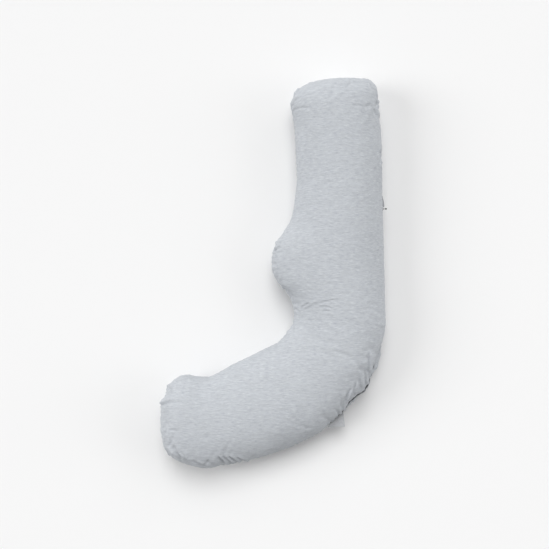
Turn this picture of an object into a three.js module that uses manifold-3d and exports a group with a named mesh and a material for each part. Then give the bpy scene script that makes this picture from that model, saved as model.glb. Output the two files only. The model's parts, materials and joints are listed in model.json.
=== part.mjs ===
// Nursing pillow, long J-shaped body and nursing pillow in a jersey cover.
//
// Pieces: a two-panel jersey cover closed by a zip along its outer seam, a woven
// two-panel inner case closed by a short zip on its inner seam, and the loose bead
// fill. Both covers have their seam on the equator of the stuffed shape.
//
// Units are millimetres, +Z up. The pillow lies flat; the long arm runs along Y and
// the short arm hooks round to -X at the -Y end. The origin is the centre of the
// bottom of the bounding box.
import * as THREE from 'three';
import { mergeVertices } from 'three/addons/utils/BufferGeometryUtils.js';
import Module from 'manifold-3d';

const wasm = await Module();
wasm.setup();

// ---------------------------------------------------------------- dimensions
const SEAM_Z = 80;            // height of the side seam above the surface it lies on
const CROWN = 93;             // crown of the upper side above the seam
const BELLY = 1.12;           // lower side before it flattens, as a share of SEAM_Z
const SECTION_POWER = 2.3;    // superellipse exponent of the cross-section
const END_ROUND = 85;         // length over which each end swells to full height
const END_POWER = 2.2;        // shape of that swell
const END_BLEND = 150;        // length over which the end outline fades into the sides

const COVER_THICK = 2.0;      // jersey with its light wadding
const CASE_INSET = 6.2;       // inner case behind the cover at the seam
const CASE_GAP = 0.5;         // inner case behind the cover at the crown
const CASE_THICK = 1.5;
const FILL_INSET = 12.6;      // bead fill at the seam
const FILL_DROP = 4.6;        // bead fill at the crown
const SEAM_HALF = 0.2;        // half the gap between two sewn panel edges
const ZIP_HALF = 6.0;         // half the opening between the panel edges along a zip
const FILL_HALF = 0.5;

// Zip, in its own frame: a along the seam towards the crook, n outwards, z up.
const COIL = { n: [-3.0, -0.6], z: [0.9, 3.2] };
const TAPE = { n: [-4.1, -3.3], z: [1.2, 11.5] };
const SLIDER_HALF_LEN = 5.5;
const SLIDER_HALF_W = 4.6;
const ZIP_PARKED_Y = 203.2;   // closed position of the slider along the long arm
const PULL_PIVOT_N = 2.5;     // pull pivot outside the seam
const PULL_LENGTH = 12.5;     // pivot to tip
const INNER_ZIP_Y = 442.0;    // closed position of the inner case's slider

// Stations along the pillow: [x, y] on the inner side seam, [x, y] on the outer one.
const ROWS = [
  [62.40, 563.20, 327.36, 587.20], [61.39, 560.72, 328.31, 583.75], [58.85, 555.01, 330.71, 575.79],
  [54.73, 545.15, 334.02, 562.04], [53.68, 529.44, 334.93, 541.10], [58.70, 508.97, 335.71, 513.52],
  [64.80, 469.98, 339.09, 463.76], [67.34, 453.98, 340.59, 446.04], [69.57, 401.58, 344.22, 394.70],
  [71.76, 350.09, 345.60, 342.22], [73.84, 301.02, 344.78, 287.14], [73.46, 285.02, 344.63, 269.10],
  [69.25, 252.37, 345.11, 233.23], [67.67, 237.20, 345.58, 217.20], [64.69, 213.11, 346.34, 191.82],
  [60.34, 188.78, 347.09, 166.73], [52.29, 164.52, 347.82, 142.15], [39.63, 140.57, 348.53, 118.40],
  [21.91, 117.07, 349.21, 95.75], [6.09, 92.66, 349.89, 72.99], [-2.68, 67.78, 350.60, 49.08],
  [-6.26, 43.31, 351.34, 24.24], [-5.38, 19.56, 352.12, -1.62], [-0.60, -2.98, 352.91, -28.25],
  [9.03, -24.66, 353.71, -54.83], [25.17, -44.54, 354.49, -81.01], [42.82, -64.28, 355.27, -107.07],
  [56.54, -85.79, 356.04, -132.97], [63.59, -109.54, 356.80, -158.33], [64.65, -144.17, 351.37, -201.63],
  [55.71, -173.40, 341.79, -248.62], [38.54, -198.16, 328.92, -295.67], [18.23, -218.84, 308.33, -341.44],
  [-5.05, -232.99, 278.30, -384.33], [-31.40, -245.41, 244.28, -421.24], [-59.76, -259.67, 210.74, -454.68],
  [-86.93, -273.06, 174.65, -486.98], [-96.28, -277.51, 160.77, -498.18], [-125.45, -290.92, 112.37, -528.80],
  [-153.17, -306.61, 60.12, -552.85], [-180.13, -322.44, 5.97, -573.72], [-206.84, -332.39, -52.05, -591.20],
  [-233.04, -334.05, -113.36, -606.27], [-258.59, -330.08, -175.60, -621.00], [-284.00, -327.83, -239.92, -623.02],
  [-299.49, -331.34, -273.60, -613.21], [-310.95, -337.45, -298.54, -604.38], [-318.36, -342.74, -314.09, -596.01],
  [-322.82, -345.89, -322.68, -590.25], [-324.80, -347.20, -326.40, -587.84],
];
// Seam outline of the long arm's end and of the short arm's end, inner to outer side.
const END_A = [
  [62.40, 563.20], [63.00, 564.30], [67.47, 573.20], [85.31, 591.27], [127.81, 607.84], [192.56, 617.33],
  [258.01, 619.21], [303.26, 613.84], [322.33, 597.22], [326.77, 588.31], [327.36, 587.20],
];
const END_B = [
  [-324.80, -347.20], [-325.51, -348.04], [-331.34, -354.54], [-341.23, -374.51], [-357.81, -411.11], [-360.68, -468.34],
  [-358.85, -525.76], [-348.33, -564.27], [-333.80, -581.35], [-327.21, -587.09], [-326.40, -587.84],
];
const OUTER_ZIP_ROWS = [13, 36];   // rows between which the cover's seam is a zip
const INNER_ZIP_ROWS = [7, 10];    // rows between which the case's seam is a zip

// Columns across the pillow, as angles round the section.
const PHI = [-90, -82, -66, -46, -23, 0, 23, 46, 66, 82, 90];

// ------------------------------------------------------------------- colours
const mat = (color, roughness, metalness = 0) =>
  new THREE.MeshStandardMaterial({ color, roughness, metalness });
const JERSEY = () => mat(0xc6cace, 0.95);
const COTTON = () => mat(0xf1efe9, 0.9);
const ZIP_BLACK = () => mat(0x1b1c1f, 0.6);
const ZIP_WHITE = () => mat(0xe9e8e4, 0.6);
const METAL_BLACK = () => mat(0x222326, 0.45, 0.4);

// ------------------------------------------------------------ section helpers
const NR = ROWS.length;
const NC = PHI.length;
const pw = 2 / SECTION_POWER;
const U = PHI.map((d) => {
  const s = Math.sin((d * Math.PI) / 180);
  return Math.sign(s) * Math.pow(Math.abs(s), pw);
});
const F = PHI.map((d) => (Math.abs(d) === 90 ? 0 : Math.pow(Math.cos((d * Math.PI) / 180), pw)));

// Closed seam outline, clockwise seen from above, with an inward mitre at each corner.
function outline() {
  const loop = [];
  loop.push({ i: 0, j: 0, p: ROWS[0].slice(0, 2) });
  for (let j = 1; j < NC - 1; j++) loop.push({ i: 0, j, p: END_A[j] });
  for (let i = 0; i < NR; i++) loop.push({ i, j: NC - 1, p: ROWS[i].slice(2, 4) });
  for (let j = NC - 2; j > 0; j--) loop.push({ i: NR - 1, j, p: END_B[j] });
  for (let i = NR - 1; i > 0; i--) loop.push({ i, j: 0, p: ROWS[i].slice(0, 2) });
  const n = loop.length;
  for (let k = 0; k < n; k++) {
    const a = loop[(k + n - 1) % n].p, b = loop[k].p, c = loop[(k + 1) % n].p;
    const u = unit(b[0] - a[0], b[1] - a[1]), v = unit(c[0] - b[0], c[1] - b[1]);
    const n1 = [u[1], -u[0]], n2 = [v[1], -v[0]];
    const q = 1 + n1[0] * n2[0] + n1[1] * n2[1];
    loop[k].m = [(n1[0] + n2[0]) / q, (n1[1] + n2[1]) / q];
  }
  return loop;
}
function unit(x, y) { const l = Math.hypot(x, y); return [x / l, y / l]; }
const LOOP = outline();

// Plan positions of every grid point with the seam outline moved in by `inset`.
function plan(inset) {
  const I = [], O = [], A = [], B = [];
  for (const q of LOOP) {
    const p = [q.p[0] + q.m[0] * inset, q.p[1] + q.m[1] * inset];
    if (q.j === 0) I[q.i] = p;
    if (q.j === NC - 1) O[q.i] = p;
    if (q.i === 0) A[q.j] = p;
    if (q.i === NR - 1) B[q.j] = p;
  }
  const mid = (i) => [(I[i][0] + O[i][0]) / 2, (I[i][1] + O[i][1]) / 2];
  const run = [0];
  for (let i = 1; i < NR; i++) {
    const a = mid(i - 1), b = mid(i);
    run[i] = run[i - 1] + Math.hypot(b[0] - a[0], b[1] - a[1]);
  }
  const total = run[NR - 1];
  const fade = (d) => (d >= END_BLEND ? 0 : Math.pow(1 - d / END_BLEND, 2));
  const lerp = (a, b, t) => [a[0] + (b[0] - a[0]) * t, a[1] + (b[1] - a[1]) * t];
  const P = [];
  for (let i = 0; i < NR; i++) {
    P[i] = [];
    const wa = fade(run[i]), wb = fade(total - run[i]);
    for (let j = 0; j < NC; j++) {
      const t = (U[j] + 1) / 2;
      const base = lerp(I[i], O[i], t);
      const ca = lerp(I[0], O[0], t), cb = lerp(I[NR - 1], O[NR - 1], t);
      P[i][j] = [
        base[0] + wa * (A[j][0] - ca[0]) + wb * (B[j][0] - cb[0]),
        base[1] + wa * (A[j][1] - ca[1]) + wb * (B[j][1] - cb[1]),
      ];
      if (j === 0) P[i][j] = I[i];
      if (j === NC - 1) P[i][j] = O[i];
      if (i === 0) P[i][j] = A[j];
      if (i === NR - 1) P[i][j] = B[j];
    }
  }
  return P;
}

// Share of the full height at each grid point, from the distance to the two ends.
const SWELL = (() => {
  const P = plan(0), G = [];
  for (let i = 0; i < NR; i++) G[i] = [];
  for (let j = 0; j < NC; j++) {
    const d = [0];
    for (let i = 1; i < NR; i++)
      d[i] = d[i - 1] + Math.hypot(P[i][j][0] - P[i - 1][j][0], P[i][j][1] - P[i - 1][j][1]);
    for (let i = 0; i < NR; i++) {
      const x = Math.min(d[i], d[NR - 1] - d[i]) / END_ROUND;
      G[i][j] = x >= 1 ? 1 : Math.pow(1 - Math.pow(1 - x, END_POWER), 1 / END_POWER);
      G[i][j] *= F[j];
    }
  }
  return G;
})();

// One closed shape of the stuffed pillow, `inset` in from the seam and `drop` in from
// the crown. `half(i, side)` is half the gap between the two panels at the seam.
function skin(inset, drop, half) {
  const P = plan(inset), top = [], bottom = [];
  for (let i = 0; i < NR; i++) {
    top[i] = []; bottom[i] = [];
    for (let j = 0; j < NC; j++) {
      const e = half(i, U[j]), f = SWELL[i][j];
      const zt = SEAM_Z + Math.max(e, SEAM_HALF + (CROWN - drop - SEAM_HALF) * f);
      const zb = Math.max(drop, SEAM_Z - Math.max(e, SEAM_HALF + (BELLY * SEAM_Z - drop - SEAM_HALF) * f));
      top[i][j] = [P[i][j][0], P[i][j][1], zt];
      bottom[i][j] = [P[i][j][0], P[i][j][1], zb];
    }
  }
  return { top, bottom };
}

// --------------------------------------------------------------- mesh helpers
class Soup {
  constructor() { this.v = []; this.f = []; }
  tri(a, b, c) { const k = this.v.length; this.v.push(a, b, c); this.f.push(k, k + 1, k + 2); }
  grid(g, up) {
    for (let i = 0; i < g.length - 1; i++)
      for (let j = 0; j < g[0].length - 1; j++) {
        const a = g[i][j], b = g[i][j + 1], c = g[i + 1][j + 1], d = g[i + 1][j];
        if (up) { this.tri(a, d, b); this.tri(b, d, c); }
        else { this.tri(a, b, d); this.tri(b, c, d); }
      }
  }
  band(g, h, flip) {
    const n = LOOP.length;
    for (let k = 0; k < n; k++) {
      const p = LOOP[k], q = LOOP[(k + 1) % n];
      const a = g[p.i][p.j], b = g[q.i][q.j], c = h[q.i][q.j], d = h[p.i][p.j];
      if (!flip) { this.tri(a, b, d); this.tri(b, c, d); }
      else { this.tri(a, d, b); this.tri(b, d, c); }
    }
  }
  geometry() {
    let g = new THREE.BufferGeometry();
    g.setAttribute('position', new THREE.BufferAttribute(new Float32Array(this.v.flat()), 3));
    g.setIndex(this.f);
    g = mergeVertices(g, 1e-4);
    g.computeVertexNormals();
    return g;
  }
}
function panel(outer, inner, side) {
  const s = new Soup();
  const up = side === 'top';
  s.grid(outer[side], up);
  s.grid(inner[side], !up);
  s.band(outer[side], inner[side], !up);
  return s.geometry();
}
function lump(shape) {
  const s = new Soup();
  s.grid(shape.top, true);
  s.grid(shape.bottom, false);
  s.band(shape.top, shape.bottom, false);
  return s.geometry();
}

const root = new THREE.Group();
function add(name, geometry, material, frame) {
  const m = new THREE.Mesh(geometry, material);
  m.name = name;
  if (frame) { m.position.set(frame.o[0], frame.o[1], SEAM_Z); m.rotation.z = frame.angle; }
  root.add(m);
  return m;
}

// ------------------------------------------------------------ cover and case
const zipHalf = (rows, sign, base) => (i, u) =>
  u * sign > 0 && i >= rows[0] && i <= rows[1] ? ZIP_HALF : base;
const coverHalf = zipHalf(OUTER_ZIP_ROWS, 1, SEAM_HALF);
const caseHalf = zipHalf(INNER_ZIP_ROWS, -1, SEAM_HALF);

const coverOut = skin(0, 0, coverHalf);
const coverIn = skin(COVER_THICK, COVER_THICK, coverHalf);
add('cover_top_panel', panel(coverOut, coverIn, 'top'), JERSEY());
add('cover_bottom_panel', panel(coverOut, coverIn, 'bottom'), JERSEY());

const caseDrop = COVER_THICK + CASE_GAP;
const caseOut = skin(CASE_INSET, caseDrop, caseHalf);
const caseIn = skin(CASE_INSET + CASE_THICK, caseDrop + CASE_THICK, caseHalf);
add('inner_case_top', panel(caseOut, caseIn, 'top'), COTTON());
add('inner_case_bottom', panel(caseOut, caseIn, 'bottom'), COTTON());

add('bead_fill', lump(skin(FILL_INSET, FILL_DROP, () => FILL_HALF)), mat(0xfafafa, 0.8));

// ------------------------------------------------------------------ seam runs
// A seam path: points along one side seam, with arc length counted from the parked
// slider. Each run of tape or coil is a bar of constant section along it.
function seamPath(points, parkedY, sign) {
  const seg = [];
  for (let k = 0; k < points.length - 1; k++) {
    const t = unit(points[k + 1][0] - points[k][0], points[k + 1][1] - points[k][1]);
    seg.push({ t, n: [-t[1] * sign, t[0] * sign] });
  }
  const s = [0];
  for (let k = 1; k < points.length; k++)
    s[k] = s[k - 1] + Math.hypot(points[k][0] - points[k - 1][0], points[k][1] - points[k - 1][1]);
  let k0 = 0;
  while (!(points[k0][1] >= parkedY && points[k0 + 1][1] < parkedY)) k0++;
  const w = (points[k0][1] - parkedY) / (points[k0][1] - points[k0 + 1][1]);
  const s0 = s[k0] + w * (s[k0 + 1] - s[k0]);
  const arc = s.map((v) => v - s0);
  const at = (a) => {
    let k = 0;
    while (k < seg.length - 1 && arc[k + 1] <= a) k++;
    const d = a - arc[k];
    return { p: [points[k][0] + seg[k].t[0] * d, points[k][1] + seg[k].t[1] * d], n: seg[k].n, t: seg[k].t };
  };
  const node = (k) => {
    const a = seg[k - 1].n, b = seg[k].n, q = 1 + a[0] * b[0] + a[1] * b[1];
    return { p: points[k], n: [(a[0] + b[0]) / q, (a[1] + b[1]) / q] };
  };
  return { arc, at, node };
}
function runBar(path, a0, a1, n0, n1, z0, z1) {
  const st = [path.at(a0)];
  for (let k = 1; k < path.arc.length - 1; k++) {
    if (path.arc[k] > a0 + 0.05 && path.arc[k] < a1 - 0.05) st.push(path.node(k));
  }
  st.push(path.at(a1));
  const ring = st.map(({ p, n }) => [[n0, z0], [n1, z0], [n1, z1], [n0, z1]]
    .map(([a, z]) => [p[0] + n[0] * a, p[1] + n[1] * a, SEAM_Z + z]));
  const s = new Soup();
  for (let k = 0; k < ring.length - 1; k++)
    for (let m = 0; m < 4; m++) {
      const a = ring[k][m], b = ring[k][(m + 1) % 4], c = ring[k + 1][(m + 1) % 4], d = ring[k + 1][m];
      s.tri(a, b, c); s.tri(a, c, d);
    }
  const f = ring[0], l = ring[ring.length - 1];
  s.tri(f[0], f[2], f[1]); s.tri(f[0], f[3], f[2]);
  s.tri(l[0], l[1], l[2]); s.tri(l[0], l[2], l[3]);
  return outward(s.geometry());
}
function outward(g) {
  const p = g.attributes.position, x = g.index;
  let v = 0;
  const a = new THREE.Vector3(), b = new THREE.Vector3(), c = new THREE.Vector3();
  for (let k = 0; k < x.count; k += 3) {
    a.fromBufferAttribute(p, x.getX(k)); b.fromBufferAttribute(p, x.getX(k + 1)); c.fromBufferAttribute(p, x.getX(k + 2));
    v += a.dot(b.cross(c));
  }
  if (v < 0) for (let k = 0; k < x.count; k += 3) {
    const t = x.getX(k + 1); x.setX(k + 1, x.getX(k + 2)); x.setX(k + 2, t);
  }
  g.computeVertexNormals();
  return g;
}

// Small solids: boxes given by their limits, joined with manifold.
function solid(geometry) {
  const g = geometry.clone();
  g.deleteAttribute('normal'); g.deleteAttribute('uv');
  const m = mergeVertices(g, 1e-4);
  return new wasm.Manifold(new wasm.Mesh({
    numProp: 3,
    vertProperties: new Float32Array(m.attributes.position.array),
    triVerts: new Uint32Array(m.index.array),
  }));
}
function block(a, n, z) {
  const g = new THREE.BoxGeometry(a[1] - a[0], n[1] - n[0], z[1] - z[0]);
  g.translate((a[0] + a[1]) / 2, (n[0] + n[1]) / 2, (z[0] + z[1]) / 2);
  return solid(g);
}
function joined(list) {
  let r = list[0];
  for (let k = 1; k < list.length; k++) r = r.add(list[k]);
  const m = r.getMesh();
  const g = new THREE.BufferGeometry();
  g.setAttribute('position', new THREE.BufferAttribute(new Float32Array(m.vertProperties), 3));
  g.setIndex(Array.from(m.triVerts));
  g.computeVertexNormals();
  return g;
}
const both = (f) => [f(1), f(-1)];
const span = (s, a, b) => (s > 0 ? [a, b] : [-b, -a]);

// --------------------------------------------------------------------- zips
function frameAt(path) {
  const q = path.at(0);
  return { o: q.p, angle: Math.atan2(q.t[1], q.t[0]), t: q.t, n: q.n };
}

// Outer zip, on the outer side seam of the cover.
const outerPath = seamPath(ROWS.map((r) => [r[2], r[3]]), ZIP_PARKED_Y, 1);
const outerFrame = frameAt(outerPath);
const zipEnd = outerPath.arc[OUTER_ZIP_ROWS[1]] - 2;
const COIL_START = -7.1;
const BOTTOM_STOP = 5;
for (const [s, tag] of [[1, 'upper'], [-1, 'lower']]) {
  const tz = span(s, ...TAPE.z), cz = span(s, ...COIL.z);
  add(`zip_tape_${tag}`, runBar(outerPath, -13, zipEnd, ...TAPE.n, ...tz), ZIP_BLACK());
  add(`zip_coil_${tag}`, runBar(outerPath, COIL_START, zipEnd - BOTTOM_STOP - 0.4, ...COIL.n, ...cz), ZIP_BLACK());
  add(`zip_top_stop_${tag}`, joined([block([-9.6, -7.4], [-3.0, -0.8], span(s, 1.0, 3.4))]), METAL_BLACK(), outerFrame);
}
add('zip_bottom_stop', runBar(outerPath, zipEnd - BOTTOM_STOP, zipEnd, -3.0, -0.5, -3.4, 3.4), METAL_BLACK());

// Slider body: two wings joined by the wedge post, side flanges, and the crown that
// holds the pull.
const wings = (back, front, lead) => [
  block([-SLIDER_HALF_LEN, SLIDER_HALF_LEN], back, [-SLIDER_HALF_W, SLIDER_HALF_W]),
  block([-SLIDER_HALF_LEN, SLIDER_HALF_LEN], front, [-SLIDER_HALF_W, SLIDER_HALF_W]),
  block(span(lead, 2.5, 5.0), [back[1] - 0.3, front[0] + 0.3], [-0.6, 0.6]),
  ...both((s) => block([-SLIDER_HALF_LEN, SLIDER_HALF_LEN], [-2.6, front[0] + 0.3], span(s, 3.6, SLIDER_HALF_W))),
];
const FRONT = [0.5, 1.6], BACK = [-5.5, -4.5];
add('zip_slider', joined([
  ...wings(BACK, FRONT, -1),
  ...both((s) => block(span(s, 3.2, 4.2), [FRONT[1] - 0.3, 4.4], [-1.1, 1.1])),
  block([-4.2, 4.2], [3.4, 4.4], [-1.1, 1.1]),
]), METAL_BLACK(), outerFrame);

// Pull: eye round the crown, then a moulded tab. It points straight out at rest and
// turns about the vertical through its end bar.
const p0 = PULL_PIVOT_N;
add('zip_pull', joined([
  block([-0.55, 0.55], [p0 - 0.55, p0 + 0.55], [-2.8, 2.8]),
  ...both((s) => block([-0.55, 0.55], [p0 - 0.55, p0 + 7.2], span(s, 1.6, 2.8))),
  block([-0.55, 0.55], [p0 + 5.0, p0 + 7.2], [-2.8, 2.8]),
  block([-1.8, 1.8], [p0 + 6.6, p0 + PULL_LENGTH - 0.8], [-3.2, 3.2]),
  block([-1.3, 1.3], [p0 + PULL_LENGTH - 1.4, p0 + PULL_LENGTH], [-2.6, 2.6]),
]), METAL_BLACK(), outerFrame);

// Zip garage: a folded tab of the cover fabric over the closed end of the zip, open
// towards the slider.
const gar = new THREE.Shape([
  [-41, 0.4], [-41, 1.8], [-34, 3.6], [-24, 5.8], [-14, 7.0], [-6.8, 7.0],
  [-6.8, 5.4], [-14, 5.4], [-24, 4.2], [-33, 2.2], [-36, 0.4],
].map(([x, y]) => new THREE.Vector2(x, y)));
const garGeo = new THREE.ExtrudeGeometry(gar, { depth: 14, bevelEnabled: false });
garGeo.translate(0, 0, -7);
add('zip_garage', joined([solid(garGeo)]), JERSEY(), outerFrame);

// Care label: a flat woven tab at the seam, at the lower end of the zip, with its
// free corner pointing away from the crook.
{
  const k = 35;
  const off = 0.9;
  const at = (a) => { const q = outerPath.at(a); return [q.p[0] + q.n[0] * off, q.p[1] + q.n[1] * off]; };
  const nd = outerPath.node(k);
  const pts = [
    at(outerPath.arc[k] - 14.5),
    [nd.p[0] + nd.n[0] * off, nd.p[1] + nd.n[1] * off],
    at(outerPath.arc[k + 1] - 1.5),
    [172.6, -496.2], [227.4, -494.4],
  ];
  const g = new THREE.ExtrudeGeometry(new THREE.Shape(pts.map(([x, y]) => new THREE.Vector2(x, y))),
    { depth: 0.8, bevelEnabled: false });
  g.translate(0, 0, SEAM_Z - 5.2);
  add('care_label', outward(joined([solid(g)])), mat(0xd9dadb, 0.8));
}

// Inner zip, on the inner side seam of the case; its slider has no pull.
const caseEdge = caseOut.top.map((r) => [r[0][0], r[0][1]]);
const innerPath = seamPath(caseEdge, INNER_ZIP_Y, -1);
const innerFrame = frameAt(innerPath);
innerFrame.angle += Math.PI;
const iEnd = innerPath.arc[INNER_ZIP_ROWS[1]] - 1.5;
for (const [s, tag] of [[1, 'upper'], [-1, 'lower']]) {
  add(`inner_zip_tape_${tag}`, runBar(innerPath, -10.5, iEnd, ...TAPE.n, ...span(s, ...TAPE.z)), ZIP_WHITE());
  add(`inner_zip_coil_${tag}`, runBar(innerPath, -6.6, iEnd, ...COIL.n, ...span(s, ...COIL.z)), ZIP_WHITE());
}
// In this frame a runs the other way, so the wedge post is on its positive side.
add('inner_zip_slider', joined(wings(BACK, [0.4, 1.6], 1)), ZIP_WHITE(), innerFrame);

// -------------------------------------------------- origin at the bottom centre
const box = new THREE.Box3().setFromObject(root, true);
root.position.set(-(box.min.x + box.max.x) / 2, -(box.min.y + box.max.y) / 2, -box.min.z);
const part = new THREE.Group();
part.add(root);
export default part;
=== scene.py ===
# Nursing pillow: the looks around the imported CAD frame.
# Geometry is worked out in millimetres in the row frame and scaled to metres as each mesh is made.
import json
import math

import bpy
import numpy as np
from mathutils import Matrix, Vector

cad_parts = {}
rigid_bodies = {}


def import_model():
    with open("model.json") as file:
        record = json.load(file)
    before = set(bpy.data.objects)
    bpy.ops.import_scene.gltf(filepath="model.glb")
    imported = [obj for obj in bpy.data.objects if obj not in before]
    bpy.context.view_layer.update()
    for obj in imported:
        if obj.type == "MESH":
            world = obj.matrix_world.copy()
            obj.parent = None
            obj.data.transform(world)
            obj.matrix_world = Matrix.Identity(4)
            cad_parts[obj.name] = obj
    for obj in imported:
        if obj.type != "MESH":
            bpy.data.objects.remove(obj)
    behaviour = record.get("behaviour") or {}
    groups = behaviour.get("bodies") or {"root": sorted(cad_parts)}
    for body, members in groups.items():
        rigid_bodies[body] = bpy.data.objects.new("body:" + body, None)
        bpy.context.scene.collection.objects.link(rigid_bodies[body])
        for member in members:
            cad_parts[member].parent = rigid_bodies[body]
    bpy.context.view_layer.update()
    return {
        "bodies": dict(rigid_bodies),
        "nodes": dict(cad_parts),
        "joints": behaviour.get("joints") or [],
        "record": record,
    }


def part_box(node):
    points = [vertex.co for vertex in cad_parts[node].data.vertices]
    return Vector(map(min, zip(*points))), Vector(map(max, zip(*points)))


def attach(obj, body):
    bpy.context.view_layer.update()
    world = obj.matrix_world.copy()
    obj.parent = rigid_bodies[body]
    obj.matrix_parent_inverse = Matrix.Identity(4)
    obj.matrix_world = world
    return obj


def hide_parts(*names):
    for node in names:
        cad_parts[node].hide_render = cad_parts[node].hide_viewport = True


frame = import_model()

MM = 0.001
rng = np.random.RandomState(7)

# ---------------------------------------------------------------- the shape
ZC = 80.0          # height of the side seam
HT = 93.0          # crown above the seam
BELLY = 1.12       # lower side before it flattens
PW = 2 / 2.3       # section power
END_ROUND, END_POWER, END_BLEND = 85.0, 2.2, 150.0

K = np.array([0, 1.5, 3.5, 6, 9, 13, 18, 24, 31, 39, 48, 58, 68, 79.2, 90.3, 101.5, 112.7, 123.8, 135, 146.2, 157.3, 168.5, 179.7,
190.8, 202, 213.2, 224.3, 235.5, 246.7, 257.8, 269, 280.2, 291.3, 302.5, 313.7, 324.8, 336, 347.2, 358.3, 369.5, 380.7, 391.8,
403, 414.2, 425.4, 436.5, 447.7, 458.9, 470, 481.2, 492.4, 503.5, 514.7, 525.9, 537, 548.2, 559.4, 570.5, 581.7, 592.9, 604,
615.2, 626.4, 637.5, 648.7, 659.9, 671, 682.2, 693.4, 704.5, 715.7, 726.9, 738, 749.2, 760.4, 771.5, 782.7, 793.9, 805, 816.2,
827.4, 838.5, 849.7, 860.9, 872, 883.2, 894.4, 905.5, 916.7, 927.9, 939, 950.2, 961.4, 972.5, 983.7, 994.9, 1006, 1017.2, 1028.4,
1039.5, 1050.7, 1061.9, 1073.1, 1084.2, 1095.4, 1106.6, 1117.7, 1128.9, 1140.1, 1151.2, 1162.4, 1173.6, 1184.7, 1195.9, 1207.1,
1218.2, 1229.4, 1240.6, 1251.7, 1262.9, 1274.1, 1285.2, 1296.4, 1307.6, 1318.7, 1329.9, 1341.1, 1352.2, 1362.2, 1372.2, 1381.2,
1389.2, 1396.2, 1402.2, 1407.2, 1411.2, 1414.2, 1416.7, 1418.7, 1420.2])
SIDE_IN = np.array([(62.2, 565.1), (61.7, 563.9), (61, 562.2), (60.1, 560.2), (59, 557.7), (57.6, 554.5), (55.8, 550.4), (54,
545.4), (52.7, 539.3), (53.3, 532.2), (55, 524.4), (57.1, 515.9), (59.4, 507.5), (61.5, 498.1), (62.8, 488.4), (63.9, 478.5),
(65.2, 468.2), (67.1, 457.7), (67.6, 446.8), (68, 435.6), (68.5, 424.3), (69, 413), (69.5, 401.6), (70, 390.2), (70.4, 379),
(70.9, 368), (71.4, 357.2), (71.8, 346.6), (72.3, 336), (72.7, 325.5), (73.2, 315), (73.6, 304.5), (73.7, 294), (72.9, 283.4),
(71.6, 272.9), (70.1, 262.2), (68.8, 251.4), (67.6, 240.5), (66.4, 229.6), (65.1, 218.7), (63.4, 207.7), (61.5, 196.7), (58.9,
185.7), (55.4, 174.7), (51, 163.8), (45.7, 152.9), (39.2, 142.1), (31.7, 131.3), (23.3, 120.8), (15, 110.2), (8.2, 99), (2.8,
87.6), (-1.1, 76.4), (-3.8, 65.2), (-5.7, 54.1), (-6.5, 43.1), (-6.5, 32.2), (-5.6, 21.6), (-3.9, 11.3), (-1.5, 1.2), (2, -8.8),
(6.5, -18.6), (12.4, -28), (19.9, -36.9), (27.9, -45.8), (36.1, -54.5), (43.7, -63.7), (50.7, -73.2), (56.1, -83.2), (60, -93.8),
(62.8, -104.7), (64.5, -115.3), (65.1, -125.6), (65, -135.2), (64.2, -144.4), (62.5, -153.1), (59.8, -161.5), (56.5, -169.5),
(52.5, -177.2), (47.7, -184.5), (42.4, -191.3), (37, -197.9), (31.4, -204.3), (25.6, -210.3), (19.5, -215.7), (13.2, -220.5),
(6.6, -224.8), (-0.1, -228.6), (-7.2, -232), (-14.5, -235.2), (-22.1, -238.8), (-29.9, -242.6), (-37.9, -246.7), (-46, -250.8),
(-54.2, -254.9), (-62.3, -259), (-70.3, -263), (-78, -266.8), (-85.6, -270.4), (-93.1, -274), (-100.5, -277.5), (-107.8, -281),
(-115.2, -284.3), (-122.4, -287.6), (-129.7, -290.9), (-136.7, -294.6), (-143.6, -298.7), (-150.5, -302.9), (-157.3, -307.1),
(-164.1, -311.2), (-170.9, -315.1), (-177.6, -319), (-184.2, -322.6), (-190.9, -325.6), (-197.7, -328), (-204.4, -329.9), (-211,
-331.3), (-217.6, -332.2), (-224.2, -332.6), (-230.7, -332.4), (-237.2, -331.7), (-243.6, -330.8), (-250.1, -329.9), (-256.5,
-328.7), (-262.6, -327.3), (-268.7, -326), (-275.1, -325.5), (-281.7, -325.7), (-287.9, -326.4), (-294.4, -327.8), (-300.3,
-329.7), (-305.5, -332.1), (-309.9, -334.7), (-313.6, -337.3), (-316.7, -339.5), (-319.2, -341.3), (-321.1, -342.6), (-322.7,
-343.8), (-324, -344.6), (-325, -345.3)])
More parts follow.
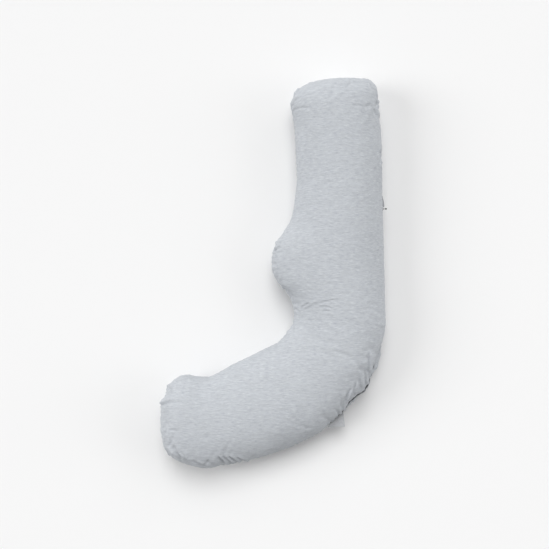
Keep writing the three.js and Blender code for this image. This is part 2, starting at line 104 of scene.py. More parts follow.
SIDE_OUT = np.array([(327.2, 589.1), (327.7, 587.4), (328.3, 585.1), (329.2, 582.2), (330.2, 578.8), (331.5, 574.3), (333, 568.6),
(334.1, 561.6), (334.7, 553.4), (334.8, 544.2), (334.9, 533.8), (335.3, 522.3), (335.7, 510.8), (336.4, 498.2), (337.3, 485.7),
(338.3, 473.4), (339.3, 461.5), (340.2, 449.9), (341.2, 438.6), (342.1, 427.5), (342.9, 416.6), (343.5, 405.7), (344.1, 394.8),
(344.6, 383.8), (345, 372.7), (345.3, 361.3), (345.4, 349.8), (345.4, 338.2), (345.2, 326.4), (344.9, 314.6), (344.8, 302.7),
(344.6, 290.8), (344.5, 278.9), (344.4, 267.1), (344.5, 255.3), (344.7, 243.6), (345, 232.1), (345.4, 220.6), (345.7, 209.1),
(346, 197.6), (346.4, 186.2), (346.7, 174.8), (347.1, 163.5), (347.4, 152.4), (347.7, 141.4), (348, 130.5), (348.4, 120), (348.7,
109.6), (349, 99.4), (349.3, 89.3), (349.6, 78.9), (349.9, 68.4), (350.2, 57.5), (350.6, 46.5), (350.9, 35.3), (351.2, 23.9),
(351.6, 12.3), (351.9, 0.5), (352.3, -11.5), (352.7, -23.6), (353, -35.7), (353.4, -47.7), (353.7, -59.6), (354.1, -71.5), (354.4,
-83.3), (354.8, -95.1), (355.1, -106.9), (355.5, -118.6), (355.8, -130.3), (356.2, -141.8), (356.5, -153.2), (356.4, -164.9),
(354.9, -177.1), (352.8, -189.7), (350.7, -202.8), (348.2, -216.2), (345.5, -229.7), (342.4, -243.3), (339.1, -256.7), (335.6,
-270.2), (331.9, -283.7), (327.6, -297.2), (322.4, -310.4), (316.4, -323.5), (309.8, -336.5), (302.5, -349.4), (294.2, -362),
(285.1, -374), (275.5, -385.5), (265.7, -396.6), (255.9, -407.1), (246.2, -417.2), (236.6, -427), (227.1, -436.7), (217.5,
-446.2), (207.7, -455.5), (197.6, -464.7), (187.2, -473.9), (176.6, -483.2), (165.7, -492.3), (154.3, -501), (142.6, -509.3),
(130.5, -517.1), (117.9, -524.1), (104.9, -530.4), (91.8, -536.6), (78.7, -542.7), (65.6, -548.5), (52.3, -554.1), (38.9, -559.5),
(25.3, -564.7), (11.5, -569.8), (-2.5, -574.7), (-16.7, -579.4), (-31.3, -583.7), (-46.2, -587.7), (-61.3, -591.6), (-76.6,
-595.4), (-92.1, -599), (-107.6, -602.9), (-123.1, -606.8), (-138.7, -610.6), (-154.2, -614.5), (-169.9, -618), (-185.8, -620.9),
(-201.8, -623.1), (-218.1, -623.6), (-234.3, -622.1), (-248.7, -619.4), (-262.7, -615.2), (-275.2, -610.8), (-286.3, -607), (-296,
-603.6), (-304.1, -600.1), (-310.5, -596.5), (-315.5, -593.3), (-319.2, -590.8), (-322.2, -588.8), (-324.7, -587.1), (-326.6,
-585.9)])
END_A = np.array([(62.2, 565.1), (62.5, 565.6), (63.3, 567.1), (64.6, 569.6), (66.3, 573.1), (68.6, 577.5), (72, 582.3), (77,
587.2), (83.3, 591.9), (90.7, 596.5), (99.2, 600.8), (108.8, 604.5), (119.2, 607.7), (130.4, 610.4), (142.1, 612.7), (154.3,
614.8), (166.8, 616.5), (179.5, 618), (192.4, 619.2), (205.3, 620.1), (218.1, 620.8), (230.7, 621.1), (243.1, 621.1), (255,
621.1), (266.5, 621.1), (277.4, 620.8), (287.6, 619.8), (296.9, 617.8), (305.1, 614.8), (311.8, 610.7), (316.9, 606), (320.8,
601.4), (323.2, 597.1), (324.9, 593.6), (326.1, 591.1), (326.9, 589.6), (327.2, 589.1)])
END_B = np.array([(-325, -345.3), (-325.3, -345.7), (-326.3, -346.8), (-327.9, -348.6), (-330.2, -351.2), (-333.1, -354.4),
(-336.2, -358.6), (-338.8, -364.1), (-340.8, -370.7), (-343.6, -377.9), (-347.4, -385.3), (-351.5, -393.3), (-355.3, -402.1),
(-358.7, -411.6), (-360.2, -421.9), (-360.7, -432.8), (-360.9, -443.8), (-361, -455.1), (-360.9, -466.4), (-360.7, -477.8),
(-360.6, -489), (-360.2, -500.1), (-359.9, -510.9), (-359.3, -521.4), (-358.1, -531.4), (-356.4, -540.8), (-354.2, -549.5),
(-351.1, -557.3), (-347.5, -564.1), (-343.6, -569.8), (-339.6, -574.3), (-335.7, -577.9), (-332.5, -580.7), (-329.9, -583), (-328,
-584.6), (-326.9, -585.6), (-326.6, -585.9)])
LEN = K[-1]


def hermite(x, X, Y):
    """Smooth curve through the table (X, Y), centred tangents."""
    X, Y = np.asarray(X, float), np.asarray(Y, float)
    T = np.zeros_like(Y)
    T[1:-1] = (Y[2:] - Y[:-2]) / (X[2:] - X[:-2])[:, None]
    T[0], T[-1] = (Y[1] - Y[0]) / (X[1] - X[0]), (Y[-1] - Y[-2]) / (X[-1] - X[-2])
    i = np.clip(np.searchsorted(X, x, side="right") - 1, 0, len(X) - 2)
    h = X[i + 1] - X[i]
    u = ((x - X[i]) / h)[:, None]
    h = h[:, None]
    return (
        (2 * u**3 - 3 * u**2 + 1) * Y[i]
        + (u**3 - 2 * u**2 + u) * h * T[i]
        + (-2 * u**3 + 3 * u**2) * Y[i + 1]
        + (u**3 - u**2) * h * T[i + 1]
    )


def smooth(x):
    x = np.clip(x, 0, 1)
    return x * x * (3 - 2 * x)


def noise1(x, seed, octaves=((1.0, 1.0),)):
    """Smooth one-dimensional noise, about -1 to 1. octaves: (frequency, weight)."""
    r = np.random.RandomState(seed)
    tab = r.uniform(-1, 1, 4096)
    out, tot = np.zeros_like(np.asarray(x, float)), 0.0
    for f, w in octaves:
        y = np.asarray(x, float) * f + 311.7 * f + 97.1
        i = np.floor(y).astype(int)
        t = y - i
        t = t * t * t * (t * (t * 6 - 15) + 10)
        out += w * (tab[i % 4096] * (1 - t) + tab[(i + 1) % 4096] * t)
        tot += w
    return out / tot


def noise2(x, y, seed):
    r = np.random.RandomState(seed)
    tab = r.uniform(-1, 1, (256, 256))
    xi, yi = np.floor(x).astype(int), np.floor(y).astype(int)
    tx, ty = x - xi, y - yi
    tx, ty = (t * t * t * (t * (t * 6 - 15) + 10) for t in (tx, ty))
    g = lambda a, b: tab[a % 256, b % 256]
    return (g(xi, yi) * (1 - tx) + g(xi + 1, yi) * tx) * (1 - ty) + (
        g(xi, yi + 1) * (1 - tx) + g(xi + 1, yi + 1) * tx
    ) * ty


class Shape:
    """The stuffed shape, inset mm in from the side seam and drop mm in from the crown and belly.
    rows: dense stations along the pillow; each holds the section from the inner to the outer seam."""

    def __init__(self, inset=0.0, drop=0.0, nphi=241):
        kk = np.concatenate([
            62 * (np.linspace(0, 1, 61)) ** 2.6,
            np.linspace(62, LEN - 62, 560)[1:-1],
            LEN - 62 * (np.linspace(1, 0, 61)) ** 2.6,
        ])
        self.k = kk
        I, O = hermite(kk, K, SIDE_IN), hermite(kk, K, SIDE_OUT)
        phi = np.radians(np.concatenate([[-90, -89.9, -89.7, -89.3], np.linspace(-88.5, 88.5, nphi), [89.3, 89.7, 89.9, 90]]))
        u = np.sign(np.sin(phi)) * np.abs(np.sin(phi)) ** PW
        f = np.clip(np.cos(phi), 0, 1) ** PW
        f[0] = f[-1] = 0
        t = (u + 1) / 2
        tt = (1 - np.cos(np.linspace(0, np.pi, len(END_A)))) / 2
        A, B = hermite(t, tt, END_A), hermite(t, tt, END_B)
        if inset:
            # move the closed outline in along its own normal
            loop = np.concatenate([A, O[1:], B[::-1][1:], I[::-1][1:-1]])
            d = np.roll(loop, -1, 0) - loop
            d /= np.maximum(np.linalg.norm(d, axis=1), 1e-9)[:, None]
            n1 = np.stack([d[:, 1], -d[:, 0]], 1)
            n = n1 + np.roll(n1, 1, 0)
            n /= np.linalg.norm(n, axis=1)[:, None]
            loop = loop + n * inset
            a, o, b, n_ = len(A), len(O), len(B), len(I)
            A = loop[:a]
            O = loop[a - 1:a - 1 + o]
            B = loop[a + o - 2 + (b - 1 - np.arange(b))]
            I = loop[(a + o + b - 3 + (n_ - 1 - np.arange(n_))) % len(loop)]
        wa = np.where(kk < END_BLEND, (1 - np.minimum(kk, END_BLEND) / END_BLEND) ** 2, 0)
        kb = LEN - kk
        wb = np.where(kb < END_BLEND, (1 - np.minimum(kb, END_BLEND) / END_BLEND) ** 2, 0)
        P = I[:, None] + (O - I)[:, None] * t[None, :, None]
        ca = I[0] + (O[0] - I[0]) * t[:, None]
        cb = I[-1] + (O[-1] - I[-1]) * t[:, None]
        P = P + wa[:, None, None] * (A - ca)[None] + wb[:, None, None] * (B - cb)[None]
        step = np.linalg.norm(np.diff(P, axis=0), axis=2)
        dA = np.concatenate([np.zeros((1, P.shape[1])), np.cumsum(step, 0)])
        dB = dA[-1] - dA
        x = np.clip(np.minimum(dA, dB) / END_ROUND, 0, 1)
        g = (1 - (1 - x) ** END_POWER) ** (1 / END_POWER)
        F = g * f[None]
        top = ZC + (HT - drop) * F
        a = ZC - (BELLY * ZC - drop) * F - drop
        dl = 7.0
        bot = drop + np.maximum(0.5 * (a + np.sqrt(a * a + dl * dl)) - 1.35 * smooth((0.75 * ZC - a) / ZC), 0)
        bot = np.where(F <= 1e-9, ZC, np.minimum(bot, ZC))
        self.P, self.F, self.u, self.phi = P, F, u, phi
        self.top = np.concatenate([P, top[..., None]], 2)
        self.bot = np.concatenate([P, bot[..., None]], 2)
        mid = len(u) // 2
        self.mid = mid
        s = np.linalg.norm(np.diff(self.top[:, mid], axis=0), axis=1)
        self.q = np.concatenate([[0], np.cumsum(s)])
        self.Q = self.q[-1]
        # excess of surface length over plan length along the middle, for the flat pattern
        pl = np.concatenate([[0], np.cumsum(np.linalg.norm(np.diff(P[:, mid], axis=0), axis=1))])
        self.excess = (self.q - self.q[len(kk) // 2]) - (pl - pl[len(kk) // 2])

    def row(self, side, k):
        """Section polylines at the stations k (mm along the middle): (len(k), nphi, 3)."""
        src = self.top if side == "top" else self.bot
        i = np.clip(np.searchsorted(self.k, k, side="right") - 1, 0, len(self.k) - 2)
        w = (k - self.k[i]) / (self.k[i + 1] - self.k[i])
        return src[i] * (1 - w)[:, None, None] + src[i + 1] * w[:, None, None]

    def grid(self, side, q, cols, skip_out=None, skip_in=None):
        """Points on one panel. q: surface distance of each row along the middle. cols: function of a section's length
        that gives the distances of its columns from the inner seam. skip_out/in: per row, how far from each seam the panel starts."""
        k = np.interp(q, self.q, self.k)
        sec = self.row(side, k)
        out, cf, pat = [], [], []
        mid = self.mid
        ex = np.interp(k, self.k, self.excess)
        for r in range(len(k)):
            p = sec[r]
            s = np.concatenate([[0], np.cumsum(np.linalg.norm(np.diff(p, axis=0), axis=1))])
            a = 0 if skip_in is None else skip_in[r]
            b = 0 if skip_out is None else skip_out[r]
            d = cols(s[-1] - a - b) + a
            out.append(np.stack([np.interp(d, s, p[:, m]) for m in range(3)], 1))
            cf.append(d / s[-1])
            across = p[-1, :2] - p[0, :2]
            across /= np.linalg.norm(across)
            along = np.array([across[1], -across[0]])
            pat.append(p[mid, :2] + across * (d - s[mid])[:, None] + along * ex[r])
        return np.array(out), np.array(cf), np.array(pat)


def cut_columns(n, edge):
    """Column distances: the fixed ones near both seams, then n equal steps between them."""
    edge = np.array(edge, float)

    def f(total):
        e = edge * min(1.0, total / (2.6 * edge[-1]))
        midd = np.linspace(e[-1], total - e[-1], n + 1)[1:-1]
        return np.concatenate([e, midd, (total - e)[::-1]])

    return f


EDGE = [0, 0.9, 1.8, 2.8, 4.0, 5.4, 7.1, 9.2, 12.0]


def cut_rows(Q, step):
    e = np.array(EDGE)
    n = int(round((Q - 2 * e[-1]) / step))
    return np.concatenate([e, np.linspace(e[-1], Q - e[-1], n + 1)[1:-1], (Q - e)[::-1]])


# ---------------------------------------------------------------- mesh helpers
def make(name, V, Fc, mat=None, smooth_shade=True, uv=None):
    """A mesh object from points in mm and faces (an int array of quads or a list)."""
    me = bpy.data.meshes.new(name)
    V = np.asarray(V, float) * MM
    if isinstance(Fc, np.ndarray):
        Fc = Fc.tolist()
    me.from_pydata(V.tolist(), [], Fc)
    me.validate()
    me.update()
    if smooth_shade:
        me.polygons.foreach_set("use_smooth", [True] * len(me.polygons))
    ob = bpy.data.objects.new(name, me)
    bpy.context.scene.collection.objects.link(ob)
    if uv is not None:
        lay = me.uv_layers.new(name="pattern")
        idx = np.zeros(len(me.loops), int)
        me.loops.foreach_get("vertex_index", idx)
        lay.data.foreach_set("uv", (np.asarray(uv)[idx] * MM).astype(np.float32).ravel())
    if mat is not None:
        me.materials.append(mat)
    return ob


def grid_faces(nr, nc, flip=False, base=0):
    i, j = np.meshgrid(np.arange(nr - 1), np.arange(nc - 1), indexing="ij")
    a = (base + i * nc + j).ravel()
    b, c, d = a + 1, a + nc + 1, a + nc
    q = np.stack([a, d, c, b], 1)
    return q[:, ::-1] if flip else q


def normals(G):
    """Unit normals of a grid of points (rows down the pillow, columns from the inner to the outer side), upwards."""
    dr = np.gradient(G, axis=0)
    dc = np.gradient(G, axis=1)
    n = np.cross(dr, dc)
    l = np.linalg.norm(n, axis=2, keepdims=True)
    return n / np.maximum(l, 1e-9)


class Bag:
    """Collects several shapes into one mesh."""

    def __init__(self):
        self.v, self.f, self.n = [], [], 0

    def add(self, V, Fc):
        V = np.asarray(V, float)
        self.v.append(V)
        self.f.extend([tuple(int(x) + self.n for x in f) for f in Fc])
        self.n += len(V)

    def tube(self, pts, r, sides=6, ref=(0, 0, 1), closed=False, flat=1.0):
        """A round tube along pts. r may be a number or one per point; flat scales it along ref."""
        pts = np.asarray(pts, float)
        n = len(pts)
        r = np.broadcast_to(np.asarray(r, float), (n,))
        if closed:
            t = np.roll(pts, -1, 0) - np.roll(pts, 1, 0)
        else:
            t = np.gradient(pts, axis=0)
        t /= np.maximum(np.linalg.norm(t, axis=1), 1e-9)[:, None]
        ref = np.asarray(ref, float)
        if ref.ndim == 1:
            ref = np.tile(ref, (n, 1))
        a = np.cross(t, ref)
        bad = np.linalg.norm(a, axis=1) < 1e-3
        if bad.any():
            a[bad] = np.cross(t[bad], np.array([0.3, 0.8, 0.1]))
        a /= np.linalg.norm(a, axis=1)[:, None]
        b = np.cross(a, t)
        th = np.linspace(0, 2 * np.pi, sides, endpoint=False)
        ring = pts[:, None] + r[:, None, None] * (
            np.cos(th)[None, :, None] * a[:, None] + flat * np.sin(th)[None, :, None] * b[:, None]
        )
        V = ring.reshape(-1, 3)
        i, j = np.meshgrid(np.arange(n if closed else n - 1), np.arange(sides), indexing="ij")
        i, j = i.ravel(), j.ravel()
        i2, j2 = (i + 1) % n, (j + 1) % sides
        Fq = np.stack([i * sides + j, i * sides + j2, i2 * sides + j2, i2 * sides + j], 1)
        Fc = [tuple(q[::-1]) for q in Fq]
        if not closed:
            Fc.append(tuple(range(sides)))
            Fc.append(tuple(reversed(range((n - 1) * sides, n * sides))))
        self.add(V, Fc)

    def sweep(self, sections, closed_section=True, caps=True):
        """sections: (n, m, 3) rings joined along the run."""
        S = np.asarray(sections, float)
        n, m = S.shape[:2]
        i, j = np.meshgrid(np.arange(n - 1), np.arange(m if closed_section else m - 1), indexing="ij")
        i, j = i.ravel(), j.ravel()
        j2 = (j + 1) % m
        Fc = [tuple(q) for q in np.stack([i * m + j, i * m + j2, (i + 1) * m + j2, (i + 1) * m + j], 1)]
        if caps and closed_section:
            Fc.append(tuple(reversed(range(m))))
            Fc.append(tuple(range((n - 1) * m, n * m)))
        self.add(S.reshape(-1, 3), Fc)

    def build(self, name, mat, smooth_shade=True, fix=True):
        ob = make(name, np.concatenate(self.v), self.f, mat, smooth_shade)
        if fix:
            recalc(ob)
        return ob


def recalc(ob):
    import bmesh

    bm = bmesh.new()
    bm.from_mesh(ob.data)
    bmesh.ops.recalc_face_normals(bm, faces=bm.faces)
    bm.to_mesh(ob.data)
    bm.free()


def bevelled(name, parts, mat, width=0.25, segments=2):
    """Joined solid blocks, each (centre, size) in mm, with rounded edges."""
    import bmesh

    bm = bmesh.new()
    for c, s in parts:
        r = bmesh.ops.create_cube(bm, size=1.0)
        for v in r["verts"]:
            v.co = Vector([(v.co[k] * s[k] + c[k]) * MM for k in range(3)])
    bmesh.ops.bevel(bm, geom=list(bm.edges), offset=width * MM, segments=segments, profile=0.6, affect="EDGES", clamp_overlap=True)
    me = bpy.data.meshes.new(name)
    bm.to_mesh(me)
    bm.free()
    me.polygons.foreach_set("use_smooth", [True] * len(me.polygons))
    ob = bpy.data.objects.new(name, me)
    bpy.context.scene.collection.objects.link(ob)
    me.materials.append(mat)
    return ob

# ---------------------------------------------------------------- materials
def srgb(r, g, b):
    f = lambda c: c / 12.92 if c <= 0.04045 else ((c + 0.055) / 1.055) ** 2.4
    return (f(r / 255), f(g / 255), f(b / 255), 1.0)


class Mat:
    """A small builder for node materials."""

    def __init__(self, name, color, rough=0.6, metal=0.0):
        self.m = bpy.data.materials.new(name)
        self.m.use_nodes = True
        self.t = self.m.node_tree
        self.p = next(n for n in self.t.nodes if n.type == "BSDF_PRINCIPLED")
        self.p.inputs["Base Color"].default_value = color
        self.p.inputs["Roughness"].default_value = rough
        self.p.inputs["Metallic"].default_value = metal
        self.m.diffuse_color = color

    def node(self, kind, **inputs):
        n = self.t.nodes.new(kind)
        for k, v in inputs.items():
            if k in n.inputs:
                n.inputs[k].default_value = v
            else:
                setattr(n, k, v)
        return n

    def link(self, a, b):
        self.t.links.new(a, b)

    def coords(self, uv=None, scale=(1, 1, 1), rot=(0, 0, 0)):
        if uv:
            c = self.node("ShaderNodeUVMap", uv_map=uv).outputs[0]
        else:
            c = self.node("ShaderNodeTexCoord").outputs["Object"]
        mp = self.node("ShaderNodeMapping")
        mp.inputs["Scale"].default_value = scale
        mp.inputs["Rotation"].default_value = rot
        self.link(c, mp.inputs["Vector"])
        return mp.outputs[0]

    def noise(self, vec, scale=1.0, detail=2.0, rough=0.5, distortion=0.0):
        n = self.node("ShaderNodeTexNoise")
        n.inputs["Scale"].default_value = scale
        n.inputs["Detail"].default_value = detail
        n.inputs["Roughness"].default_value = rough
        n.inputs["Distortion"].default_value = distortion
        self.link(vec, n.inputs["Vector"])
        return n.outputs["Fac"]

    def math(self, op, a, b=None, clamp=False):
        n = self.node("ShaderNodeMath", operation=op)
        n.use_clamp = clamp
        for k, v in enumerate((a, b)):
            if v is None:
                continue
            if isinstance(v, (int, float)):
                n.inputs[k].default_value = v
            else:
                self.link(v, n.inputs[k])
        return n.outputs[0]

    def ramp(self, fac, stops):
        n = self.node("ShaderNodeValToRGB")
        e = n.color_ramp.elements
        while len(e) < len(stops):
            e.new(0.5)
        for k, (pos, col) in enumerate(stops):
            e[k].position = pos
            e[k].color = col if hasattr(col, "__len__") else (col, col, col, 1)
        self.link(fac, n.inputs[0])
        return n.outputs[0]

    def mix(self, fac, a, b, kind="MIX"):
        n = self.node("ShaderNodeMix", data_type="RGBA", blend_type=kind)
        for sock, v in ((n.inputs[0], fac), (n.inputs[6], a), (n.inputs[7], b)):
            if isinstance(v, (int, float)):
                sock.default_value = v
            elif isinstance(v, tuple):
                sock.default_value = v
            else:
                self.link(v, sock)
        return n.outputs[2]

    def bump(self, height, strength=0.3, distance=0.001, after=None):
        n = self.node("ShaderNodeBump")
        n.inputs["Strength"].default_value = strength
        n.inputs["Distance"].default_value = distance
        self.link(height, n.inputs["Height"])
        if after is not None:
            self.link(after, n.inputs["Normal"])
        return n.outputs[0]

    def wave(self, vec, scale=1.0, direction="X", distortion=0.0, profile="SIN", dscale=1.0):
        n = self.node("ShaderNodeTexWave", bands_direction=direction, wave_profile=profile)
        n.inputs["Scale"].default_value = scale
        n.inputs["Distortion"].default_value = distortion
        n.inputs["Detail"].default_value = 0.0
        n.inputs["Detail Scale"].default_value = dscale
        self.link(vec, n.inputs["Vector"])
        return n.outputs["Fac"]


def jersey(name, uv="pattern", painted_shade=0.0):
    """Light grey heather jersey. Courses run along X of the cut cloth and wales along Y: each stitch is a small V, each
    course is spun from lighter and darker fibre, and soft flecks and a slow drift of the dye lie over that. The hollows
    of the stitches are painted darker as painted shade, and a darkening argument paints the whole cloth darker as
    painted shade."""
    m = Mat(name, srgb(190, 193, 197), 0.94)
    m.p.inputs["Specular IOR Level"].default_value = 0.16
    m.p.inputs["Sheen Weight"].default_value = 0.16
    m.p.inputs["Sheen Roughness"].default_value = 0.5
    m.p.inputs["Sheen Tint"].default_value = (0.95, 0.97, 1.0, 1)
    raw = m.coords(uv)
    # the cloth is never laid quite straight: the courses wander by a few millimetres
    wander = m.node("ShaderNodeTexNoise")
    wander.inputs["Scale"].default_value = 9.0
    wander.inputs["Detail"].default_value = 1.0
    m.link(raw, wander.inputs["Vector"])
    off = m.node("ShaderNodeVectorMath", operation="SUBTRACT")
    m.link(wander.outputs["Color"], off.inputs[0])
    off.inputs[1].default_value = (0.5, 0.5, 0.5)
    sc = m.node("ShaderNodeVectorMath", operation="MULTIPLY")
    m.link(off.outputs[0], sc.inputs[0])
    sc.inputs[1].default_value = (0.006, 0.024, 0.0)
    add = m.node("ShaderNodeVectorMath", operation="ADD")
    m.link(raw, add.inputs[0])
    m.link(sc.outputs[0], add.inputs[1])
    vec = add.outputs[0]

    def scaled(x, y):
        mp = m.node("ShaderNodeMapping")
        mp.inputs["Scale"].default_value = (x, y, 1)
        m.link(vec, mp.inputs["Vector"])
        return mp.outputs[0]

    drift = m.noise(scaled(6.0, 11.0), 1.0, 3.0)
    slub = m.noise(scaled(21, 150), 1.0, 1.5, 0.5, 0.0)
    slub2 = m.noise(scaled(60, 330), 1.0, 1.0, 0.5, 0.0)
    # one stitch: wale 1.15 mm wide, course 0.9 mm high
    sep = m.node("ShaderNodeSeparateXYZ")
    m.link(vec, sep.inputs[0])
    u, v = sep.outputs[0], sep.outputs[1]
    cu = m.math("FRACT", m.math("DIVIDE", u, 0.00115))
    tri = m.math("ABSOLUTE", m.math("SUBTRACT", cu, 0.5))
    vv = m.math("ADD", m.math("DIVIDE", v, 0.0009), m.math("MULTIPLY", tri, 1.5))
    fv = m.math("FRACT", vv)
    row = m.math("FLOOR", vv)
    yarn = m.math("SINE", m.math("MULTIPLY", fv, math.pi))
    leg = m.math("ABSOLUTE", m.math("SINE", m.math("MULTIPLY", cu, 2 * math.pi)))
    knit = m.math("MULTIPLY", m.math("POWER", yarn, 0.6), m.math("ADD", m.math("MULTIPLY", leg, 0.6), 0.4))
    comb = m.node("ShaderNodeCombineXYZ")
    m.link(m.math("MULTIPLY", u, 130.0), comb.inputs[0])
    m.link(m.math("MULTIPLY", row, 7.31), comb.inputs[1])
    spun = m.noise(comb.outputs[0], 1.0, 2.0, 0.6)
    fuzz = m.noise(scaled(900, 900), 1.0, 2.0, 0.6)
    base = m.mix(m.ramp(drift, [(0.3, 0.0), (0.7, 1.0)]), srgb(183, 187, 192), srgb(189, 193, 197))
    c = m.mix(m.ramp(slub, [(0.30, 0.0), (0.70, 1.0)]), base, srgb(195, 199, 204))
    c = m.mix(m.ramp(slub2, [(0.24, 0.75), (0.46, 0.0)]), c, srgb(171, 175, 184))
    c = m.mix(m.ramp(slub2, [(0.54, 0.0), (0.76, 0.75)]), c, srgb(209, 213, 216))
    c = m.mix(m.ramp(spun, [(0.30, 0.2), (0.47, 0.0)]), c, srgb(150, 153, 161))
    c = m.mix(m.ramp(spun, [(0.53, 0.0), (0.70, 0.2)]), c, srgb(226, 228, 231))
    # painted shade: the hollows between the stitch loops are painted darker
    c = m.mix(m.ramp(knit, [(0.05, 0.16), (0.55, 0.0)]), c, srgb(134, 137, 144))
    # painted shade: the whole cloth darkened towards a mid grey, for a piece that lies in shade
    if painted_shade:
        c = m.mix(painted_shade, c, srgb(112, 112, 118))
    m.link(c, m.p.inputs["Base Color"])
    h = m.math("ADD", m.math("MULTIPLY", knit, 0.8), m.math("MULTIPLY", fuzz, 0.15))
    n1 = m.bump(h, 0.40, 0.00040)
    crumple = m.noise(scaled(26, 46), 1.0, 1.5, 0.5, 0.6)
    n2 = m.bump(crumple, 0.30, 0.0030, n1)
    m.link(n2, m.p.inputs["Normal"])
    m.link(m.ramp(slub, [(0.3, 0.97), (0.7, 0.90)]), m.p.inputs["Roughness"])
    return m.m


def woven(name, color, painted_gap_shade, pitch, uv=None, rough=0.85, strength=0.5, sheen=0.1):
    """Plain weave: warp and weft threads of the given pitch in metres. The low places between the threads are painted
    darker as painted shade.
    """
    m = Mat(name, color, rough)
    m.p.inputs["Sheen Weight"].default_value = sheen
    m.p.inputs["Specular IOR Level"].default_value = 0.25
    k = 1 / (pitch * 6.2832) * 3.1416
    a = m.wave(m.coords(uv), k, "X", 0.3)
    b = m.wave(m.coords(uv), k, "Y" if uv else "Z", 0.3)
    w = m.math("MULTIPLY", m.math("ADD", a, b), 0.5)
    n = m.noise(m.coords(uv, (900, 900, 900)), 1.0, 2.0)
    h = m.math("ADD", w, m.math("MULTIPLY", n, 0.5))
    # painted shade: the low places of the weave, between the threads, are painted darker
    m.link(m.mix(m.ramp(h, [(0.35, 0.6), (0.85, 0.0)]), color, painted_gap_shade), m.p.inputs["Base Color"])
    m.link(m.bump(h, strength, pitch * 0.35), m.p.inputs["Normal"])
    return m.m


def thread(name, color):
    """Twisted sewing thread: fine diagonal plies, with the grooves between them painted darker as painted shade."""
    m = Mat(name, color, 0.7)
    m.p.inputs["Sheen Weight"].default_value = 0.2
    w = m.wave(m.coords(None, (1, 1, 1), (0.5, 0.3, 0.7)), 1900.0, "DIAGONAL", 0.5)
    painted_gap_shade = tuple(c * 0.6 for c in color[:3]) + (1,)
    # painted shade: the grooves between the plies are painted darker
    m.link(m.mix(m.ramp(w, [(0.2, 0.5), (0.7, 0.0)]), color, painted_gap_shade), m.p.inputs["Base Color"])
    m.link(m.bump(w, 0.4, 0.0001), m.p.inputs["Normal"])
    return m.m


def plastic(name, color, rough, speck=0.15):
    """Moulded plastic with a fine spark-eroded grain."""
    m = Mat(name, color, rough)
    n = m.noise(m.coords(None, (2600, 2600, 2600)), 1.0, 3.0, 0.6)
    s = m.noise(m.coords(None, (160, 160, 160)), 1.0, 3.0, 0.6)
    hi = tuple(min(1, c * 1.5 + 0.004) for c in color[:3]) + (1,)
    m.link(m.mix(m.ramp(s, [(0.4, 0.0), (0.75, 0.6)]), color, hi), m.p.inputs["Base Color"])
    m.link(m.ramp(s, [(0.3, rough - 0.08), (0.7, rough + 0.1)]), m.p.inputs["Roughness"])
    m.link(m.bump(n, speck, 0.00015), m.p.inputs["Normal"])
    return m.m


def lacquer(name, color, rough=0.35):
    """Lacquered zinc with edge wear and faint casting orange peel."""
    m = Mat(name, color, rough, 0.25)
    geo = m.node("ShaderNodeNewGeometry")
    peel = m.noise(m.coords(None, (700, 700, 700)), 1.0, 2.0)
    s = m.noise(m.coords(None, (420, 420, 420)), 1.0, 4.0, 0.65)
    wear = m.math("MULTIPLY", m.ramp(geo.outputs["Pointiness"], [(0.52, 0.0), (0.6, 1.0)]), m.ramp(s, [(0.45, 0.0), (0.6, 0.7)]))
    worn = srgb(120, 120, 122)
    m.link(m.mix(wear, color, worn), m.p.inputs["Base Color"])
    m.link(m.ramp(s, [(0.3, rough - 0.07), (0.7, rough + 0.12)]), m.p.inputs["Roughness"])
    m.link(m.bump(peel, 0.12, 0.0002), m.p.inputs["Normal"])
    return m.m


def beads(name):
    """Expanded beads seen as a close-packed surface, each bead painted darker towards its rim as painted shade in the
    gaps between beads.
    """
    m = Mat(name, srgb(243, 243, 241), 0.7)
    v = m.node("ShaderNodeTexVoronoi")
    v.inputs["Scale"].default_value = 290.0
    m.link(m.coords(None), v.inputs["Vector"])
    d = v.outputs["Distance"]
    # painted shade: each bead is painted darker towards its rim, where the gaps between beads lie
    m.link(m.mix(m.ramp(d, [(0.35, 0.0), (0.7, 0.8)]), srgb(246, 246, 244), srgb(176, 176, 172)), m.p.inputs["Base Color"])
    inv = m.math("SUBTRACT", 1.0, d)
    m.link(m.bump(inv, 0.9, 0.0016), m.p.inputs["Normal"])
    return m.m


JERSEY = jersey("jersey_heather")
# the hood's jersey with painted shade: 0.55 of the way to a dark grey
GARAGE_PAINTED_SHADE = jersey("grey_jersey_garage_painted_shade", "pattern", 0.55)
COTTON = woven("case_cotton", srgb(238, 235, 226), srgb(206, 201, 188), 0.0006, "pattern")
TAPE_BLACK = woven("zip_tape_black", srgb(30, 30, 33), srgb(9, 9, 10), 0.0005, None, 0.8, 0.6)
TAPE_WHITE = woven("zip_tape_white", srgb(232, 231, 226), srgb(196, 194, 187), 0.0005, None, 0.8, 0.6)
COIL_BLACK = plastic("zip_coil_black", srgb(26, 26, 28), 0.42, 0.08)
COIL_WHITE = plastic("zip_coil_white", srgb(236, 235, 230), 0.45, 0.08)
METAL_BLACK = lacquer("slider_black_lacquer", srgb(24, 24, 26))
METAL_WHITE = lacquer("slider_white_lacquer", srgb(228, 227, 222))
PULL_BLACK = plastic("pull_black_moulding", srgb(22, 22, 24), 0.5, 0.35)
LABEL = woven("label_satin", srgb(186, 188, 191), srgb(158, 160, 164), 0.00035, None, 0.55, 0.35, 0.2)
THREAD_GREY = thread("thread_grey", srgb(186, 189, 194))
THREAD_BLACK = thread("thread_black", srgb(26, 26, 28))
THREAD_WHITE = thread("thread_white", srgb(230, 229, 224))
BEADS = beads("fill_beads")

# ---------------------------------------------------------------- the side seam and the zip line
def px(x, y):
    """A place in the plan, from the drawing grid of 3.2 mm squares used for the listed folds."""
    return np.array([(x - 274) * 3.2 - 0.176, (272.5 - y) * 3.2 + 1.905])


